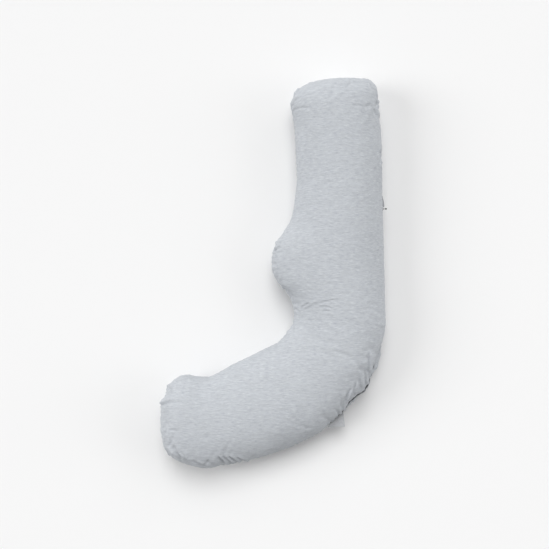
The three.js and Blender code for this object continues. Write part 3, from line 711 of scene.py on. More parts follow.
_kk = np.arange(0, LEN + 0.25, 0.5)
_kk[-1] = LEN
OUT = hermite(_kk, K, SIDE_OUT)
OUT_S = np.concatenate([[0], np.cumsum(np.linalg.norm(np.diff(OUT, axis=0), axis=1))])
OUT_S -= np.interp(-205.105, -OUT[:, 1], OUT_S)
INN = hermite(_kk, K, SIDE_IN)
INN_S = np.concatenate([[0], np.cumsum(np.linalg.norm(np.diff(INN, axis=0), axis=1))])


def near(path, s, p):
    return s[np.argmin(np.linalg.norm(path - p, axis=1))]


ZIP0 = -13.0
ZIP1 = near(OUT, OUT_S, np.array([174.7 - 0.176, -487.0 + 1.905])) - 2


def bumps(s, table):
    """Smooth curve through (s, value) pairs, flat beyond the ends."""
    t = np.array(sorted(table), float)
    i = np.clip(np.searchsorted(t[:, 0], s, side="right") - 1, 0, len(t) - 2)
    w = smooth((s - t[i, 0]) / (t[i + 1, 0] - t[i, 0]))
    return t[i, 1] * (1 - w) + t[i + 1, 1] * w


# how far the zip line wanders out of the smooth outline in the crook, and how far the upper lip draws back from it
_w = lambda x, y, v: (near(OUT, OUT_S, px(x, y)), v)
WAVE = [_w(384, 335, 0), _w(381.5, 346, -3.0), _w(378, 357, -7.5), _w(375, 366, -8.5), _w(371.5, 376, -4.0), _w(368, 385, 3.8), _w(363, 391, 4.2),
        _w(356, 397.5, -4.2), _w(350.5, 403.5, -7.0), _w(347, 408, -3.0), _w(344.5, 411, 0.0), _w(328, 426, 0.0), _w(318, 434, 0)]
BACK_OFF = [_w(382, 195, 0), _w(384.6, 286, 0.0), _w(385, 300, 0.8), _w(385.3, 318, 0.6), _w(384, 335, 0.4), _w(381, 350, 2.0), _w(375, 369, 3.0), _w(371, 378, 3.0),
            _w(367, 386, 4.6), _w(360, 394, 5.6), _w(352, 402, 5.2), _w(345, 410, 3.0), _w(338, 418, 3.4), _w(330, 424.5, 3.0), _w(322, 432, 0)]
# small local steps of the outline: place, outward offset, reach along the seam (mm)
STEPS = [((168, 388), 2.2, 7), ((165.5, 395), -5.5, 8), ((161.5, 402.5), -1.0, 8), ((161, 411), -2.8, 8), ((162, 437), -4.5, 6), ((163.5, 443), -4.5, 7),
         ((169, 454.5), 3.0, 9), ((303, 86), -5.0, 7), ((309, 84), 1.4, 6), ((332, 79), -2.5, 14), ((345, 79.3), -5.0, 12), ((357, 79.3), -5.5, 12), ((369, 81), 1.0, 6), ((375, 87), -4.0, 8),
         ((286, 229), 2.0, 8), ((280.5, 237), -1.8, 6), ((277, 241), 1.6, 5), ((272.5, 250), -1.6, 5), ((273, 271), 2.2, 12), ((282, 286), -1.4, 5), ((291, 297), 1.4, 6),
         ((293, 324), -1.8, 6), ((289, 331.5), 1.6, 7), ((276, 343.5), -1.8, 10), ((210, 376), -2.4, 8), ((293, 97), -1.2, 6),
         ((232, 463.5), 1.6, 7), ((246, 459.5), 1.8, 6), ((222, 466), -1.4, 5), ((217, 466), -5.0, 34), ((203, 467), -4.5, 18), ((186, 463.5), -1.4, 6), ((378.5, 95), 1.2, 7), ((379, 109), -1.4, 9)]
# places where the seam itself is drawn in and up, so that it shows from above
DRAWN = [((162.5, 436), 7.0, 8), ((164.5, 446), 8.5, 10), ((170.5, 455), 8.5, 11), ((180, 461.5), 7.0, 10), ((194, 465), 3.0, 12), ((220, 466), 3.0, 12), ((231, 464.5), 4.0, 12),
         ((243, 461), 3.0, 12), ((381.3, 158), 3.5, 10), ((378, 97), 4.5, 11), ((379, 108), 5.0, 13), ((379.5, 120), 3.0, 12), ((274, 247), 4.5, 9), ((284, 289), 5.0, 10), ((294, 97), 3.5, 12),
         ((302, 87), 3.0, 10), ((350, 80.5), 3.0, 9), ((358, 80), 3.5, 9), ((367, 81.5), 3.5, 10), ((373, 87), 3.0, 8)]


def seam_table(P, table):
    """Sum of the local values of a (place, value, reach) table at seam points P."""
    v = np.zeros(P.shape[:-1])
    for (x, y), a, r in table:
        v = v + a * np.exp(-((np.linalg.norm(P - px(x, y), axis=-1) / (r * 1.25)) ** 2))
    return v


def wave_out(s):
    return bumps(np.asarray(s, float), WAVE)


def back_off(s):
    return bumps(np.asarray(s, float), BACK_OFF)


def out_at(s):
    """Points and outward normals on the zip line at the arc lengths s."""
    s = np.atleast_1d(np.asarray(s, float))
    p = np.stack([np.interp(s, OUT_S, OUT[:, m]) for m in range(2)], 1)
    a = np.stack([np.interp(s - 3, OUT_S, OUT[:, m]) for m in range(2)], 1)
    b = np.stack([np.interp(s + 3, OUT_S, OUT[:, m]) for m in range(2)], 1)
    t = (b - a) / np.linalg.norm(b - a, axis=1)[:, None]
    n = np.stack([-t[:, 1], t[:, 0]], 1)
    p = p + n * wave_out(s)[:, None]
    return p, n, t


def zip_point(s, n, z):
    p, nn, t = out_at(s)
    q = p + nn * np.asarray(n, float).reshape(-1, 1)
    return np.concatenate([q, np.broadcast_to(ZC + np.asarray(z, float).reshape(-1, 1), (len(q), 1))], 1)


LIP = 5.2
_lip_table = [(-34, 0.0), (-15, LIP), (ZIP1 - 7, LIP), (ZIP1 + 4, 0.0)]


def lip(s):
    return bumps(np.asarray(s, float), _lip_table)


# ---------------------------------------------------------------- cloth simulation of the stuffed cover
STEP_ALONG, STEP_ACROSS = 2.9, 88


def simulate():
    """The cover inflated over its filling as one closed bag, seam held. Gives each panel's displacement from the
    stuffed shape on a coarse grid: (rows, columns, 3), rows even in surface distance, columns even across."""
    start, full = Shape(0, 5.5), BODY
    nr, nc = 188, 45
    q = np.linspace(0, full.Q, nr)
    qs = q / full.Q * start.Q
    even = lambda total: np.linspace(0, total, nc)
    top0, _, _ = full.grid("top", q, even)
    bot0, _, _ = full.grid("bot", q, even)
    top, _, _ = start.grid("top", qs, even)
    bot, _, _ = start.grid("bot", qs, even)
    rim = np.zeros((nr, nc), bool)
    rim[0] = rim[-1] = True
    rim[:, 0] = rim[:, -1] = True
    n = nr * nc
    low = np.zeros((nr, nc), int)
    ids = np.arange(n).reshape(nr, nc)
    low[rim] = ids[rim]
    low[~rim] = n + np.arange((~rim).sum())
    top[rim] = top0[rim]
    V = np.concatenate([top.reshape(-1, 3), bot[~rim]])
    # the start is a little rumpled, so that spare cloth has somewhere to fold
    free = np.concatenate([~rim.ravel(), np.ones((~rim).sum(), bool)])
    V[free] += rng.normal(0, 0.35, (free.sum(), 3))
    Ft = grid_faces(nr, nc)
    i, j = np.meshgrid(np.arange(nr - 1), np.arange(nc - 1), indexing="ij")
    a, b, c, d = low[i, j], low[i, j + 1], low[i + 1, j + 1], low[i + 1, j]
    Fb = np.stack([a, b, c, d], 2).reshape(-1, 4)
    ob = make("sim_bag", V, np.concatenate([Ft, Fb]), None, False)
    me = ob.data
    pin = ob.vertex_groups.new(name="pin")
    pin.add([int(x) for x in ids[rim]], 1.0, "REPLACE")
    # spare cloth at the seam and where the body bends
    shr = ob.vertex_groups.new(name="spare")
    x = np.linspace(0, 1, nc)[None]
    wide = 330.0
    dist = np.minimum(np.minimum(x, 1 - x) * wide, np.minimum(q, full.Q - q)[:, None])
    w = np.exp(-((dist / 34.0) ** 2))
    P = full.P[np.clip(np.searchsorted(full.q, q), 0, len(full.k) - 1), full.mid]
    for (cx, cy), r, s in ((px(322, 322), 75, 0.55), (px(278, 268), 55, 0.5), (px(350, 395), 70, 0.5), (px(180, 430), 60, 0.45), (px(335, 95), 60, 0.4)):
        g = np.exp(-((np.linalg.norm(top0[:, :, :2] - (cx, cy), axis=2) / r) ** 2))
        w = np.maximum(w, s * g)
    wt = w.ravel()
    for level in range(1, 21):
        lo, hi = (level - 0.5) / 20, (level + 0.5) / 20
        pick = np.where((wt >= lo) & (wt < hi))[0]
        idx = [int(v) for v in pick] + [int(low.ravel()[v]) for v in pick if not rim.ravel()[v]]
        if idx:
            shr.add(idx, level / 20, "REPLACE")
    cl = ob.modifiers.new("cloth", "CLOTH")
    s = cl.settings
    s.quality = 5
    s.mass = 0.25
    s.tension_stiffness = s.compression_stiffness = 18
    s.shear_stiffness = 9
    s.bending_stiffness = 0.35
    s.tension_damping = s.compression_damping = s.shear_damping = 8
    s.air_damping = 2.0
    s.vertex_group_mass = "pin"
    s.pin_stiffness = 20
    s.use_pressure = True
    s.uniform_pressure_force = 3.2
    s.shrink_min = 0.0
    s.shrink_max = -0.055
    s.vertex_group_shrink = "spare"
    s.effector_weights.gravity = 0
    cl.collision_settings.use_collision = False
    cl.collision_settings.use_self_collision = False
    cl.point_cache.frame_start, cl.point_cache.frame_end = 1, 26
    sc = bpy.context.scene
    for f in range(1, 25):
        sc.frame_set(f)
    dg = bpy.context.evaluated_depsgraph_get()
    ev = ob.evaluated_get(dg)
    co = np.zeros(len(V) * 3)
    ev.data.vertices.foreach_get("co", co)
    co = co.reshape(-1, 3) / MM
    sc.frame_set(1)
    bpy.data.objects.remove(ob)
    bpy.data.meshes.remove(me)
    dt = co[:n].reshape(nr, nc, 3) - top0
    db = co[low.ravel()].reshape(nr, nc, 3) - bot0
    return dt, db


def blur(A, sigma):
    """Gaussian blur of (rows, columns, 3), edges repeated."""
    r = int(3 * sigma)
    k = np.exp(-0.5 * (np.arange(-r, r + 1) / sigma) ** 2)
    k /= k.sum()
    for ax in (0, 1):
        pad = [(0, 0)] * A.ndim
        pad[ax] = (r, r)
        B = np.pad(A, pad, mode="edge")
        A = sum(k[m] * np.take(B, np.arange(m, m + A.shape[ax]), axis=ax) for m in range(2 * r + 1))
    return A


def tame(D, low_keep, cap):
    low = blur(D, 7.0)
    D = (D - low) + low * low_keep
    m = np.linalg.norm(D, axis=2, keepdims=True)
    D = D * (cap * np.tanh(m / cap) / np.maximum(m, 1e-9))
    D[0] = D[-1] = 0
    D[:, 0] = D[:, -1] = 0
    return D


def bicubic(D, u, v):
    """D on an even grid, read at u (0-1 down the rows, per row) and v (0-1 across, per point)."""
    nr, nc = D.shape[:2]

    def w(t):
        return np.stack([-0.5 * t + t**2 - 0.5 * t**3, 1 - 2.5 * t**2 + 1.5 * t**3, 0.5 * t + 2 * t**2 - 1.5 * t**3, -0.5 * t**2 + 0.5 * t**3])

    x = np.clip(u, 0, 1) * (nr - 1)
    i = np.minimum(x.astype(int), nr - 2)
    wr = w(x - i)
    R = sum(wr[m][:, None, None] * D[np.clip(i + m - 1, 0, nr - 1)] for m in range(4))
    y = np.clip(v, 0, 1) * (nc - 1)
    j = np.minimum(y.astype(int), nc - 2)
    wc = w(y - j)
    rr = np.arange(len(u))[:, None]
    return sum(wc[m][..., None] * R[rr, np.clip(j + m - 1, 0, nc - 1)] for m in range(4))


BODY = Shape(0, 0)
_t, _b = simulate()
SIM = {"top": _t, "bot": _b}
print("sim top", np.abs(_t).max(), np.linalg.norm(_t, axis=2).mean(), "bot", np.linalg.norm(_b, axis=2).mean())
SIM = {"top": tame(_t, 0.30, 9.0), "bot": tame(_b, 0.30, 9.0)}


# ---------------------------------------------------------------- puckers and folds
HOT = [(297, 93, 1.3, 12), (306, 82, 0.6, 10), (372, 84, 0.9, 10), (377, 104, 1.0, 12), (275, 249, 1.4, 11), (273, 262, 0.7, 12), (285, 290, 1.2, 14),
       (291, 308, 0.9, 14), (285, 335, 0.7, 14), (168, 388, 1.3, 9), (164, 404, 1.4, 9), (166, 440, 1.3, 12), (178, 457, 1.0, 12),
       (232, 461, 1.3, 16), (205, 466, 0.8, 14), (366, 386, 1.5, 16), (346, 408, 1.6, 16), (330, 426, 1.2, 12), (380, 352, 0.8, 14), (300, 441, 0.5, 20)]


def heat(P, base):
    a = np.full(P.shape[:-1], base)
    for x, y, v, r in HOT:
        a = a + v * np.exp(-((np.linalg.norm(P - px(x, y), axis=-1) / (r * 3.2)) ** 2))
    return np.minimum(a, 1.9)


def seam_puckers(s, d, length, amp, seed, pitch=15.0, reach=(20, 82), lean=0.4):
    """Short gathers running in from a seam. s: distance along it, d: distance from it, amp: their local strength."""
    r = np.random.RandomState(seed)
    h = np.zeros_like(d)
    at = 0.0
    while at < length:
        at += pitch * r.uniform(0.45, 1.6)
        L = r.uniform(*reach) * r.uniform(0.7, 1.1)
        w = r.uniform(2.4, 4.4) * (0.62 if reach[1] < 20 else 1.0)
        m = r.normal(0, lean)
        a = r.uniform(0.6, 1.9) * (1.0 if r.rand() < 0.75 else 1.5)
        near_ = (np.abs(s - at) < 90) & (d < L)
        if not near_.any():
            continue
        x = s[near_] - at - m * d[near_] - 2.2 * np.sin(d[near_] / L * 4 + at)
        ww = w * (1 + 0.012 * d[near_])
        p = -np.exp(-((x / ww) ** 2)) + 0.5 * np.exp(-(((x - 2.1 * ww) / (1.5 * ww)) ** 2)) + 0.5 * np.exp(-(((x + 2.1 * ww) / (1.5 * ww)) ** 2))
        f = smooth((1 - d[near_] / L) * 1.25) * (0.55 + 0.45 * smooth(d[near_] / 8))
        h[near_] += a * amp[near_] * p * f
    return h


def crease(P, pts, width, depth, lip_=0.5, side=0.0):
    """A fold along a line in the plan: a sharp valley with soft shoulders; side > 0 raises one shoulder."""
    pts = np.array([px(*p) for p in pts])
    best = np.full(P.shape[:-1], 1e9)
    sgn = np.zeros_like(best)
    tt = np.zeros_like(best)
    seg = np.linalg.norm(np.diff(pts, axis=0), axis=1)
    tot, run = seg.sum(), 0.0
    for a, b, l in zip(pts[:-1], pts[1:], seg):
        v = (b - a) / l
        rel = P - a
        t = np.clip((rel * v).sum(-1), 0, l)
        off = rel - t[..., None] * v
        dd = np.linalg.norm(off, axis=-1)
        cr = v[0] * rel[..., 1] - v[1] * rel[..., 0]
        m = dd < best
        best[m], sgn[m], tt[m] = dd[m], np.sign(cr[m]), (run + t[m]) / tot
        run += l
    x = best * sgn
    width = width * 1.3
    env = smooth(np.minimum(tt, 1 - tt) * 5 + 0.12)
    v = -np.exp(-((x / width) ** 2)) + lip_ * 0.6 * np.exp(-(((np.abs(x) - 2.2 * width) / (1.6 * width)) ** 2))
    v = v + side * np.exp(-(((x - 1.8 * width) / (1.5 * width)) ** 2)) - side * 0.5 * np.exp(-(((x + 1.8 * width) / (1.5 * width)) ** 2))
    return np.maximum(1.9 * depth * v * env, -6.4)


FOLDS_TOP = [
    # (line, width, depth, shoulder, side)
    ([(346, 82.5), (356, 81.5), (366, 82.5), (372, 87)], 2.4, 1.6, 0.5, 0.3),
    ([(352, 80), (349, 84), (345, 88)], 2.6, 1.4, 0.5, 0),
    ([(371, 84), (375.5, 91), (377, 98)], 2.6, 1.6, 0.5, 0.3),
    ([(350, 104), (362, 105.6), (370, 105.4), (376, 106)], 2.8, 0.55, 0.5, 0.3),
    ([(373, 106), (374.5, 110), (376.5, 116)], 2.2, 1.6, 0.6, 0.2),
    ([(376.5, 98), (378, 104), (376.5, 110), (378, 118)], 2.2, 1.5, 0.6, 0.2),
    ([(292, 96), (297, 91), (300, 88.5)], 2.6, 1.8, 0.5, 0.4),
    ([(300, 89), (305, 86.5), (308, 83)], 2.4, 1.3, 0.5, 0.2),
    ([(291.5, 108), (294, 101), (299, 97)], 2.4, 1.3, 0.5, 0.2),
    ([(292, 111), (298, 108), (305, 107.5), (312, 109)], 3.0, 1.0, 0.5, 0.0),
    ([(270, 250), (276, 249), (281, 246)], 2.4, 2.8, 0.6, 0.5),
    ([(273, 246), (279, 244.5), (284, 240)], 3.0, 0.9, 0.5, 0.1),
    ([(271, 255), (277, 254), (283, 252)], 3.0, 0.7, 0.5, 0.0),
    ([(281, 285), (284.5, 287.5), (287, 292)], 2.2, 2.8, 0.6, 0.4),
    ([(284, 284), (287, 288), (291, 296)], 2.4, 1.2, 0.6, 0.2),
    ([(278, 284), (283, 279), (287, 270)], 3.2, 0.7, 0.5, 0.1),
    ([(301, 308.5), (305, 305), (310, 302.5)], 1.9, 1.5, 0.6, 0.2),
    ([(304, 310), (309, 307), (313, 304.5), (319, 301)], 1.9, 1.3, 0.6, 0.2),
    ([(310, 309), (316, 305), (322, 302.5), (330, 300.5), (337, 299.5)], 2.0, 1.1, 0.6, 0.15),
    ([(318, 307), (324, 306.3), (328, 307), (332, 309)], 1.8, 1.3, 0.6, 0.2),
    ([(321, 312), (326, 311), (331, 311)], 1.8, 1.3, 0.6, 0.2),
    ([(303, 321), (312, 320), (322, 321)], 2.4, 0.5, 0.5, 0.1),
    ([(306, 326), (312, 325), (318, 326)], 2.2, 0.4, 0.5, 0.1),
    ([(352, 277), (358, 278), (364, 276)], 2.2, 0.35, 0.5, 0.1),
    ([(333, 251), (340, 252.5), (347, 251.5)], 2.2, 0.35, 0.5, 0.1),
    ([(284, 340), (290, 335), (293, 328)], 2.8, 1.3, 0.6, 0.3),
    ([(280, 344), (288, 341), (294, 335)], 2.6, 0.9, 0.5, 0.1),
    ([(161, 406), (167, 402.5), (172, 402.5)], 2.6, 2.6, 0.6, 0.7),
    ([(170, 402.5), (180, 402), (190, 404)], 3.2, 1.0, 0.5, 0.2),
    ([(166, 386), (170, 389), (172, 394)], 2.6, 1.5, 0.5, 0.2),
    ([(168, 385), (174, 381), (180, 380)], 3.0, 0.8, 0.5, 0.1),
    ([(168, 427), (165, 433), (164.6, 440), (165.5, 447), (169, 452.5), (175, 458)], 2.6, 3.0, 0.6, 0.9),
    ([(172, 445), (177, 453), (182, 459), (190, 463)], 3.0, 1.8, 0.6, 0.6),
    ([(166, 434), (170, 430), (176, 430)], 2.6, 1.6, 0.5, 0.3),
    ([(168, 446), (172, 441), (173, 434)], 2.8, 1.2, 0.5, 0.2),
    ([(174, 452), (179, 456), (181, 462)], 2.2, 1.6, 0.6, 0.3),
    ([(178, 450), (184, 456), (187, 463)], 2.2, 1.4, 0.6, 0.3),
    ([(217, 457), (222, 462), (226, 466.5)], 2.3, 2.3, 0.6, 0.4),
    ([(222, 457), (227, 461), (232, 465)], 2.3, 2.5, 0.6, 0.4),
    ([(228, 457.5), (234, 461.5), (240, 464.5)], 2.3, 2.5, 0.6, 0.4),
    ([(236, 458.5), (242, 461.5), (249, 463)], 2.3, 2.4, 0.6, 0.5),
    ([(196, 463), (202, 466), (208, 468)], 2.2, 1.2, 0.5, 0.2),
    ([(205, 461), (211, 464.5), (216, 467)], 2.4, 1.2, 0.5, 0.2),
    ([(190, 460), (196, 463.5), (202, 467)], 2.4, 1.2, 0.5, 0.2),
    ([(381.4, 150), (381.6, 157), (381.2, 164)], 1.8, 3.5, 0.4, 0.2),
    ([(357, 382), (355.6, 388), (353.5, 395.5)], 2.2, 2.4, 0.6, 0.4),
    ([(351.5, 389), (348.5, 396), (345.8, 403)], 2.2, 2.6, 0.6, 0.5),
    ([(360, 379), (361.5, 384), (361, 391)], 2.2, 1.9, 0.5, 0.3),
    ([(354, 391), (351.8, 395), (350, 400)], 1.8, 1.7, 0.5, 0.3),
    ([(346, 397), (344.3, 404), (343.3, 411)], 2.2, 2.2, 0.6, 0.4),
    ([(365.5, 371), (366.5, 379), (366.5, 387)], 2.2, 2.2, 0.5, 0.3),
    ([(369.5, 352), (370.2, 362), (369.2, 374)], 2.2, 2.6, 0.6, 0.6),
    ([(342, 404), (340.5, 410), (338.5, 416)], 2.2, 1.5, 0.5, 0.3),
    ([(203, 467), (207, 463), (209, 460)], 2.4, 0.9, 0.5, 0.1),
    ([(374, 371), (371, 377), (369, 386)], 2.4, 1.9, 0.7, 0.5),
    ([(372, 366), (368, 376), (366, 388)], 3.0, 1.1, 0.6, 0.2),
    ([(357, 396), (359.5, 388), (359, 381)], 2.6, 1.6, 0.7, 0.2),
    ([(354, 399), (355.5, 393), (357, 389)], 2.2, 1.2, 0.7, 0.2),
    ([(350, 402), (353, 396), (354.5, 391)], 2.2, 1.3, 0.7, 0.2),
    ([(345.5, 406), (347.5, 399), (347, 394)], 2.4, 1.4, 0.7, 0.2),
    ([(343.5, 414), (341.5, 406), (343, 398)], 2.4, 1.5, 0.7, 0.2),
    ([(340, 420), (338.5, 414), (335, 409)], 2.6, 1.3, 0.6, 0.2),
    ([(332, 425), (328, 420), (322, 418)], 3.0, 1.0, 0.5, 0.1),
    ([(383, 343), (380, 352), (377, 358)], 3.0, 0.9, 0.5, 0.2),
    ([(364, 376), (360, 369), (358, 362)], 4.0, 0.7, 0.5, 0.1),
]
FOLDS_BOT = [
    ([(350, 84), (362, 82), (370, 86)], 3.2, 2.0, 0.5, 0.4),
    ([(293, 100), (300, 92), (307, 88)], 3.0, 2.0, 0.5, 0.3),
    ([(372, 100), (370, 110), (373, 122)], 3.0, 1.4, 0.5, 0.2),
    ([(272, 246), (281, 248), (290, 246)], 3.0, 1.8, 0.5, 0.3),
    ([(280, 292), (288, 288), (297, 286)], 3.0, 1.6, 0.5, 0.3),
    ([(292, 312), (304, 308), (318, 309)], 3.6, 1.3, 0.5, 0.2),
    ([(165, 404), (174, 402), (184, 406)], 3.0, 2.2, 0.5, 0.4),
    ([(166, 440), (174, 444), (180, 452)], 3.2, 2.2, 0.5, 0.5),
    ([(215, 462), (224, 454), (230, 446)], 3.2, 1.4, 0.5, 0.2),
    ([(366, 384), (358, 378), (352, 370)], 3.4, 1.8, 0.5, 0.3),
    ([(346, 406), (340, 398), (336, 388)], 3.4, 1.7, 0.5, 0.3),
]


SETTLE = {}


def settled(side):
    """How the layers under the cover move with it: its own shift, smoothed, and the same for both panels at the seams."""
    own, other = blur(SETTLE[side], 3.2), blur(SETTLE["bot" if side == "top" else "top"], 3.2)
    nr, nc = own.shape[:2]
    dd = np.minimum.outer(np.minimum(np.arange(nr), np.arange(nr)[::-1]), np.minimum(np.arange(nc), np.arange(nc)[::-1]))
    w = smooth(1 - dd / 5.0)[..., None]
    both = 0.5 * (own + other)
    both[..., 2] *= 0.0
    return own * (1 - w) + both * w


def cover(side):
    """One jersey panel: the stuffed shape, the simulated fullness, the folds, the gathers, the seam and the zip lip."""
    up = side == "top"
    q = cut_rows(BODY.Q, STEP_ALONG)
    k = np.interp(q, BODY.q, BODY.k)
    s_out = np.interp(k, _kk, OUT_S)
    s_in = np.interp(k, _kk, INN_S)
    opening = lip(s_out)
    G, cf, pat = BODY.grid(side, q, cut_columns(STEP_ACROSS, EDGE), skip_out=opening)
    nr, nc = G.shape[:2]
    # distances from the four seams
    seg = np.linalg.norm(np.diff(G, axis=1), axis=2)
    d_in = np.concatenate([np.zeros((nr, 1)), np.cumsum(seg, 1)], 1)
    d_out = d_in[:, -1:] - d_in
    d_a = np.broadcast_to(q[:, None], (nr, nc))
    d_b = BODY.Q - d_a
    P = G[:, :, :2].copy()
    G = G + bicubic(SIM[side], q / BODY.Q, cf)
    G0 = G.copy()
    h = 0.55 * noise2(pat[..., 0] / 70, pat[..., 1] / 70, 3 if up else 13) + 0.3 * noise2(pat[..., 0] / 31, pat[..., 1] / 24, 5 if up else 15)
    h *= smooth(np.minimum(np.minimum(d_in, d_out), np.minimum(d_a, d_b)) / 30)
    hot_in, hot_out = heat(P[:, 0], 0.30), heat(P[:, -1], 0.26)
    hot_a, hot_b = heat(P[0], 0.5), heat(P[-1], 0.55)
    base = 100 if up else 200
    S_in = np.broadcast_to(s_in[:, None], (nr, nc))
    S_out = np.broadcast_to((s_out - OUT_S[0])[:, None], (nr, nc))
    S_a, S_b = np.broadcast_to(d_in, (nr, nc)), np.broadcast_to(d_in, (nr, nc))
    for kk_, (S, D, hot) in enumerate((
        (S_in, d_in, np.broadcast_to(hot_in[:, None], (nr, nc))),
        (S_out, d_out, np.broadcast_to(hot_out[:, None], (nr, nc))),
        (S_a, d_a, np.broadcast_to(hot_a[None], (nr, nc))),
        (S_b, d_b, np.broadcast_to(hot_b[None], (nr, nc))),
    )):
        h = h + seam_puckers(S, D, S.max(), hot, base + kk_, 15.0)
        h = h + seam_puckers(S, D, S.max(), hot * 0.55, base + 20 + kk_, 7.0, (5, 19), 0.3)
    # a fold high on the crown lies nearer the middle than its line in the drawing, which is taken at the seam's height
    seen = P * ((2880.0 - 80.0) / (2880.0 - G[:, :, 2]))[..., None] if up else P
    for f in FOLDS_TOP if up else FOLDS_BOT:
        h = h + crease(seen, *f)
    soft = lambda v, lo: lo * np.tanh(v / lo)
    h = np.where(h < 0, soft(h, -7.5), h)
    # the two panels meet along their seams, so the folds start from nothing there
    sewn = np.minimum(np.minimum(d_in, d_a), d_b)
    sewn = np.where(opening[:, None] > 0.5 * LIP, sewn, np.minimum(sewn, d_out))
    h = h * smooth((sewn + 0.4) / 6.5)
    near_lip = smooth(1 - d_out / 15.0) * smooth(opening / LIP)[:, None]
    h = h * (1 - near_lip) + near_lip * np.where(h < 0, soft(h, -1.7), h)
    # the seam: both panels turn in; along the zip the edge is a rounded, topstitched lip
    ziplike = smooth(opening / LIP)[:, None]
    d_seam = np.minimum(np.minimum(d_in, d_a), d_b)
    groove = lambda d: 2.3 * np.exp(-((d / 1.7) ** 1.3))
    h = h - groove(d_seam) * (1 + 0.0 * d_in)
    h = h - np.where(d_out < d_seam, np.maximum(groove(d_out) * (1 - ziplike) - groove(d_seam), 0), 0)
    # welt between the lip's edge and its stitching, pulled in at the stitches
    stitch = 3.9
    h = h + ziplike * (0.55 * np.exp(-(((d_out - 1.7) / 1.3) ** 2)) - 0.75 * np.exp(-(((d_out - stitch) / 0.75) ** 2)) + 0.35 * np.exp(-(((d_out - 6.6) / 2.0) ** 2)))
    pull_in = 0.35 * (0.5 + 0.5 * np.cos(2 * np.pi * s_out / 3.2))[:, None]
    h = h - ziplike * pull_in * np.exp(-(((d_out - stitch) / 0.9) ** 2))
    N = normals(G)
    if not up:
        N = -N
    G = G + N * h[..., None]
    # the crook: the zip line wanders, and the upper lip draws back so that the zip shows
    no = np.stack([np.interp(s_out, OUT_S, np.gradient(OUT[:, 1])), np.interp(s_out, OUT_S, np.gradient(OUT[:, 0]))], 1)
    no = np.stack([-no[:, 0], no[:, 1]], 1)
    no /= np.linalg.norm(no, axis=1)[:, None]
    wv, bo = wave_out(s_out)[:, None], back_off(s_out)[:, None]
    if up:
        wob = wv * np.exp(-((d_out / 32) ** 2)) - bo * np.exp(-((d_out / 34) ** 2))
        lift = 0.30 * bo * np.exp(-((d_out / 14) ** 2)) + 0.35 * np.maximum(-wv, 0) * np.exp(-((d_out / 20) ** 2))
    else:
        # the label's root: the lower panel keeps behind it, so that it can hang down
        s_a, s_b = near(OUT, OUT_S, px(345, 410)), near(OUT, OUT_S, px(328, 426))
        here = (smooth((s_out - s_a + 8) / 10) * smooth((s_b + 10 - s_out) / 10))[:, None]
        G[:, :, :2] -= no[:, None] * (here * 4.2 * np.exp(-(((d_out - 16) / 15) ** 2)))[..., None]
        wob = wv * np.exp(-((d_out / np.where(wv < 0, 12, 24)) ** 2)) + 1.7 * np.maximum(-wv, 0) * np.exp(-(((d_out - 20) / 12) ** 2)) + 0.42 * (1 - here) * bo * np.exp(-((d_out / 12) ** 2))
        lift = 0.35 * np.maximum(-wv, 0) * np.exp(-((d_out / 16) ** 2))
    G[:, :, :2] += no[:, None] * wob[..., None]
    G[:, :, 2] += lift
    # local steps of the outline, and places where the seam is drawn in and up
    t_in = np.gradient(INN, axis=0)
    ni = np.stack([np.interp(s_in, INN_S, t_in[:, 1]), np.interp(s_in, INN_S, t_in[:, 0])], 1)
    ni = np.stack([-ni[:, 0], ni[:, 1]], 1)
    ni /= np.linalg.norm(ni, axis=1)[:, None]

    def across_end(E, inner_row):
        t = np.gradient(E, axis=0)
        n = np.stack([-t[:, 1], t[:, 0]], 1)
        n /= np.linalg.norm(n, axis=1)[:, None]
        toward = E.mean(0) - inner_row.mean(0)
        return n if (n @ toward).mean() > 0 else -n

    edges = (
        (P[:, 0], -ni, d_in, 0),
        (P[:, -1], no, d_out, 0),
        (P[0], across_end(P[0], P[30]), d_a, 1),
        (P[-1], across_end(P[-1], P[-31]), d_b, 1),
    )
    for m, (E, out_, D, ax) in enumerate(edges):
        st, dr = seam_table(E, STEPS), seam_table(E, DRAWN)
        st, dr, out_ = (st[None, :], dr[None, :], out_[None, :, :]) if ax else (st[:, None], dr[:, None], out_[:, None, :])
        # towards a corner both panels use the same reach, so that their edges stay together
        others = np.minimum.reduce([e[2] for i, e in enumerate(edges) if i != m])
        c = smooth(1 - others / 16.0)
        st, dr = st * (1 - 0.5 * c), dr * (1 - 0.5 * c)
        reach = (30.0 if up else 7.0) * (1 - c) + 14.0 * c
        mv = st * np.exp(-((D / (26.0 * (1 - c) + 14.0 * c)) ** 2)) - dr * np.exp(-((D / reach) ** 2))
        G[:, :, :2] += out_ * mv[..., None]
        G[:, :, 2] += 0.9 * dr * np.exp(-((D / ((24.0 if up else 11.0) * (1 - c) + 14.0 * c)) ** 2))
        if not up:
            G[:, :, :2] += out_ * (0.25 * dr * (1 - c) * np.exp(-(((D - 15) / 9.0) ** 2)))[..., None]
    shift = G - G0
    shift[..., :2] -= no[:, None] * (7.0 * np.clip((np.abs(wv) + 1.5 * bo) / 8.0, 0, 1) * np.exp(-((d_out / 26) ** 2)))[..., None]
    cells = np.linspace(0, 1, 60)
    SETTLE[side] = np.stack([np.stack([np.interp(cells, cf[r], shift[r, :, m]) for m in range(3)], 1) for r in range(nr)])
    # nothing goes below the surface it lies on, nor through the seam plane
    G[:, :, 2] = np.maximum(G[:, :, 2], 0.15)
    if up:
        G[:, :, 2] = np.maximum(G[:, :, 2], ZC + 0.12)
    # turned-in edges: zip lip on the outer side, plain turnings elsewhere
    sg = 1 if up else -1

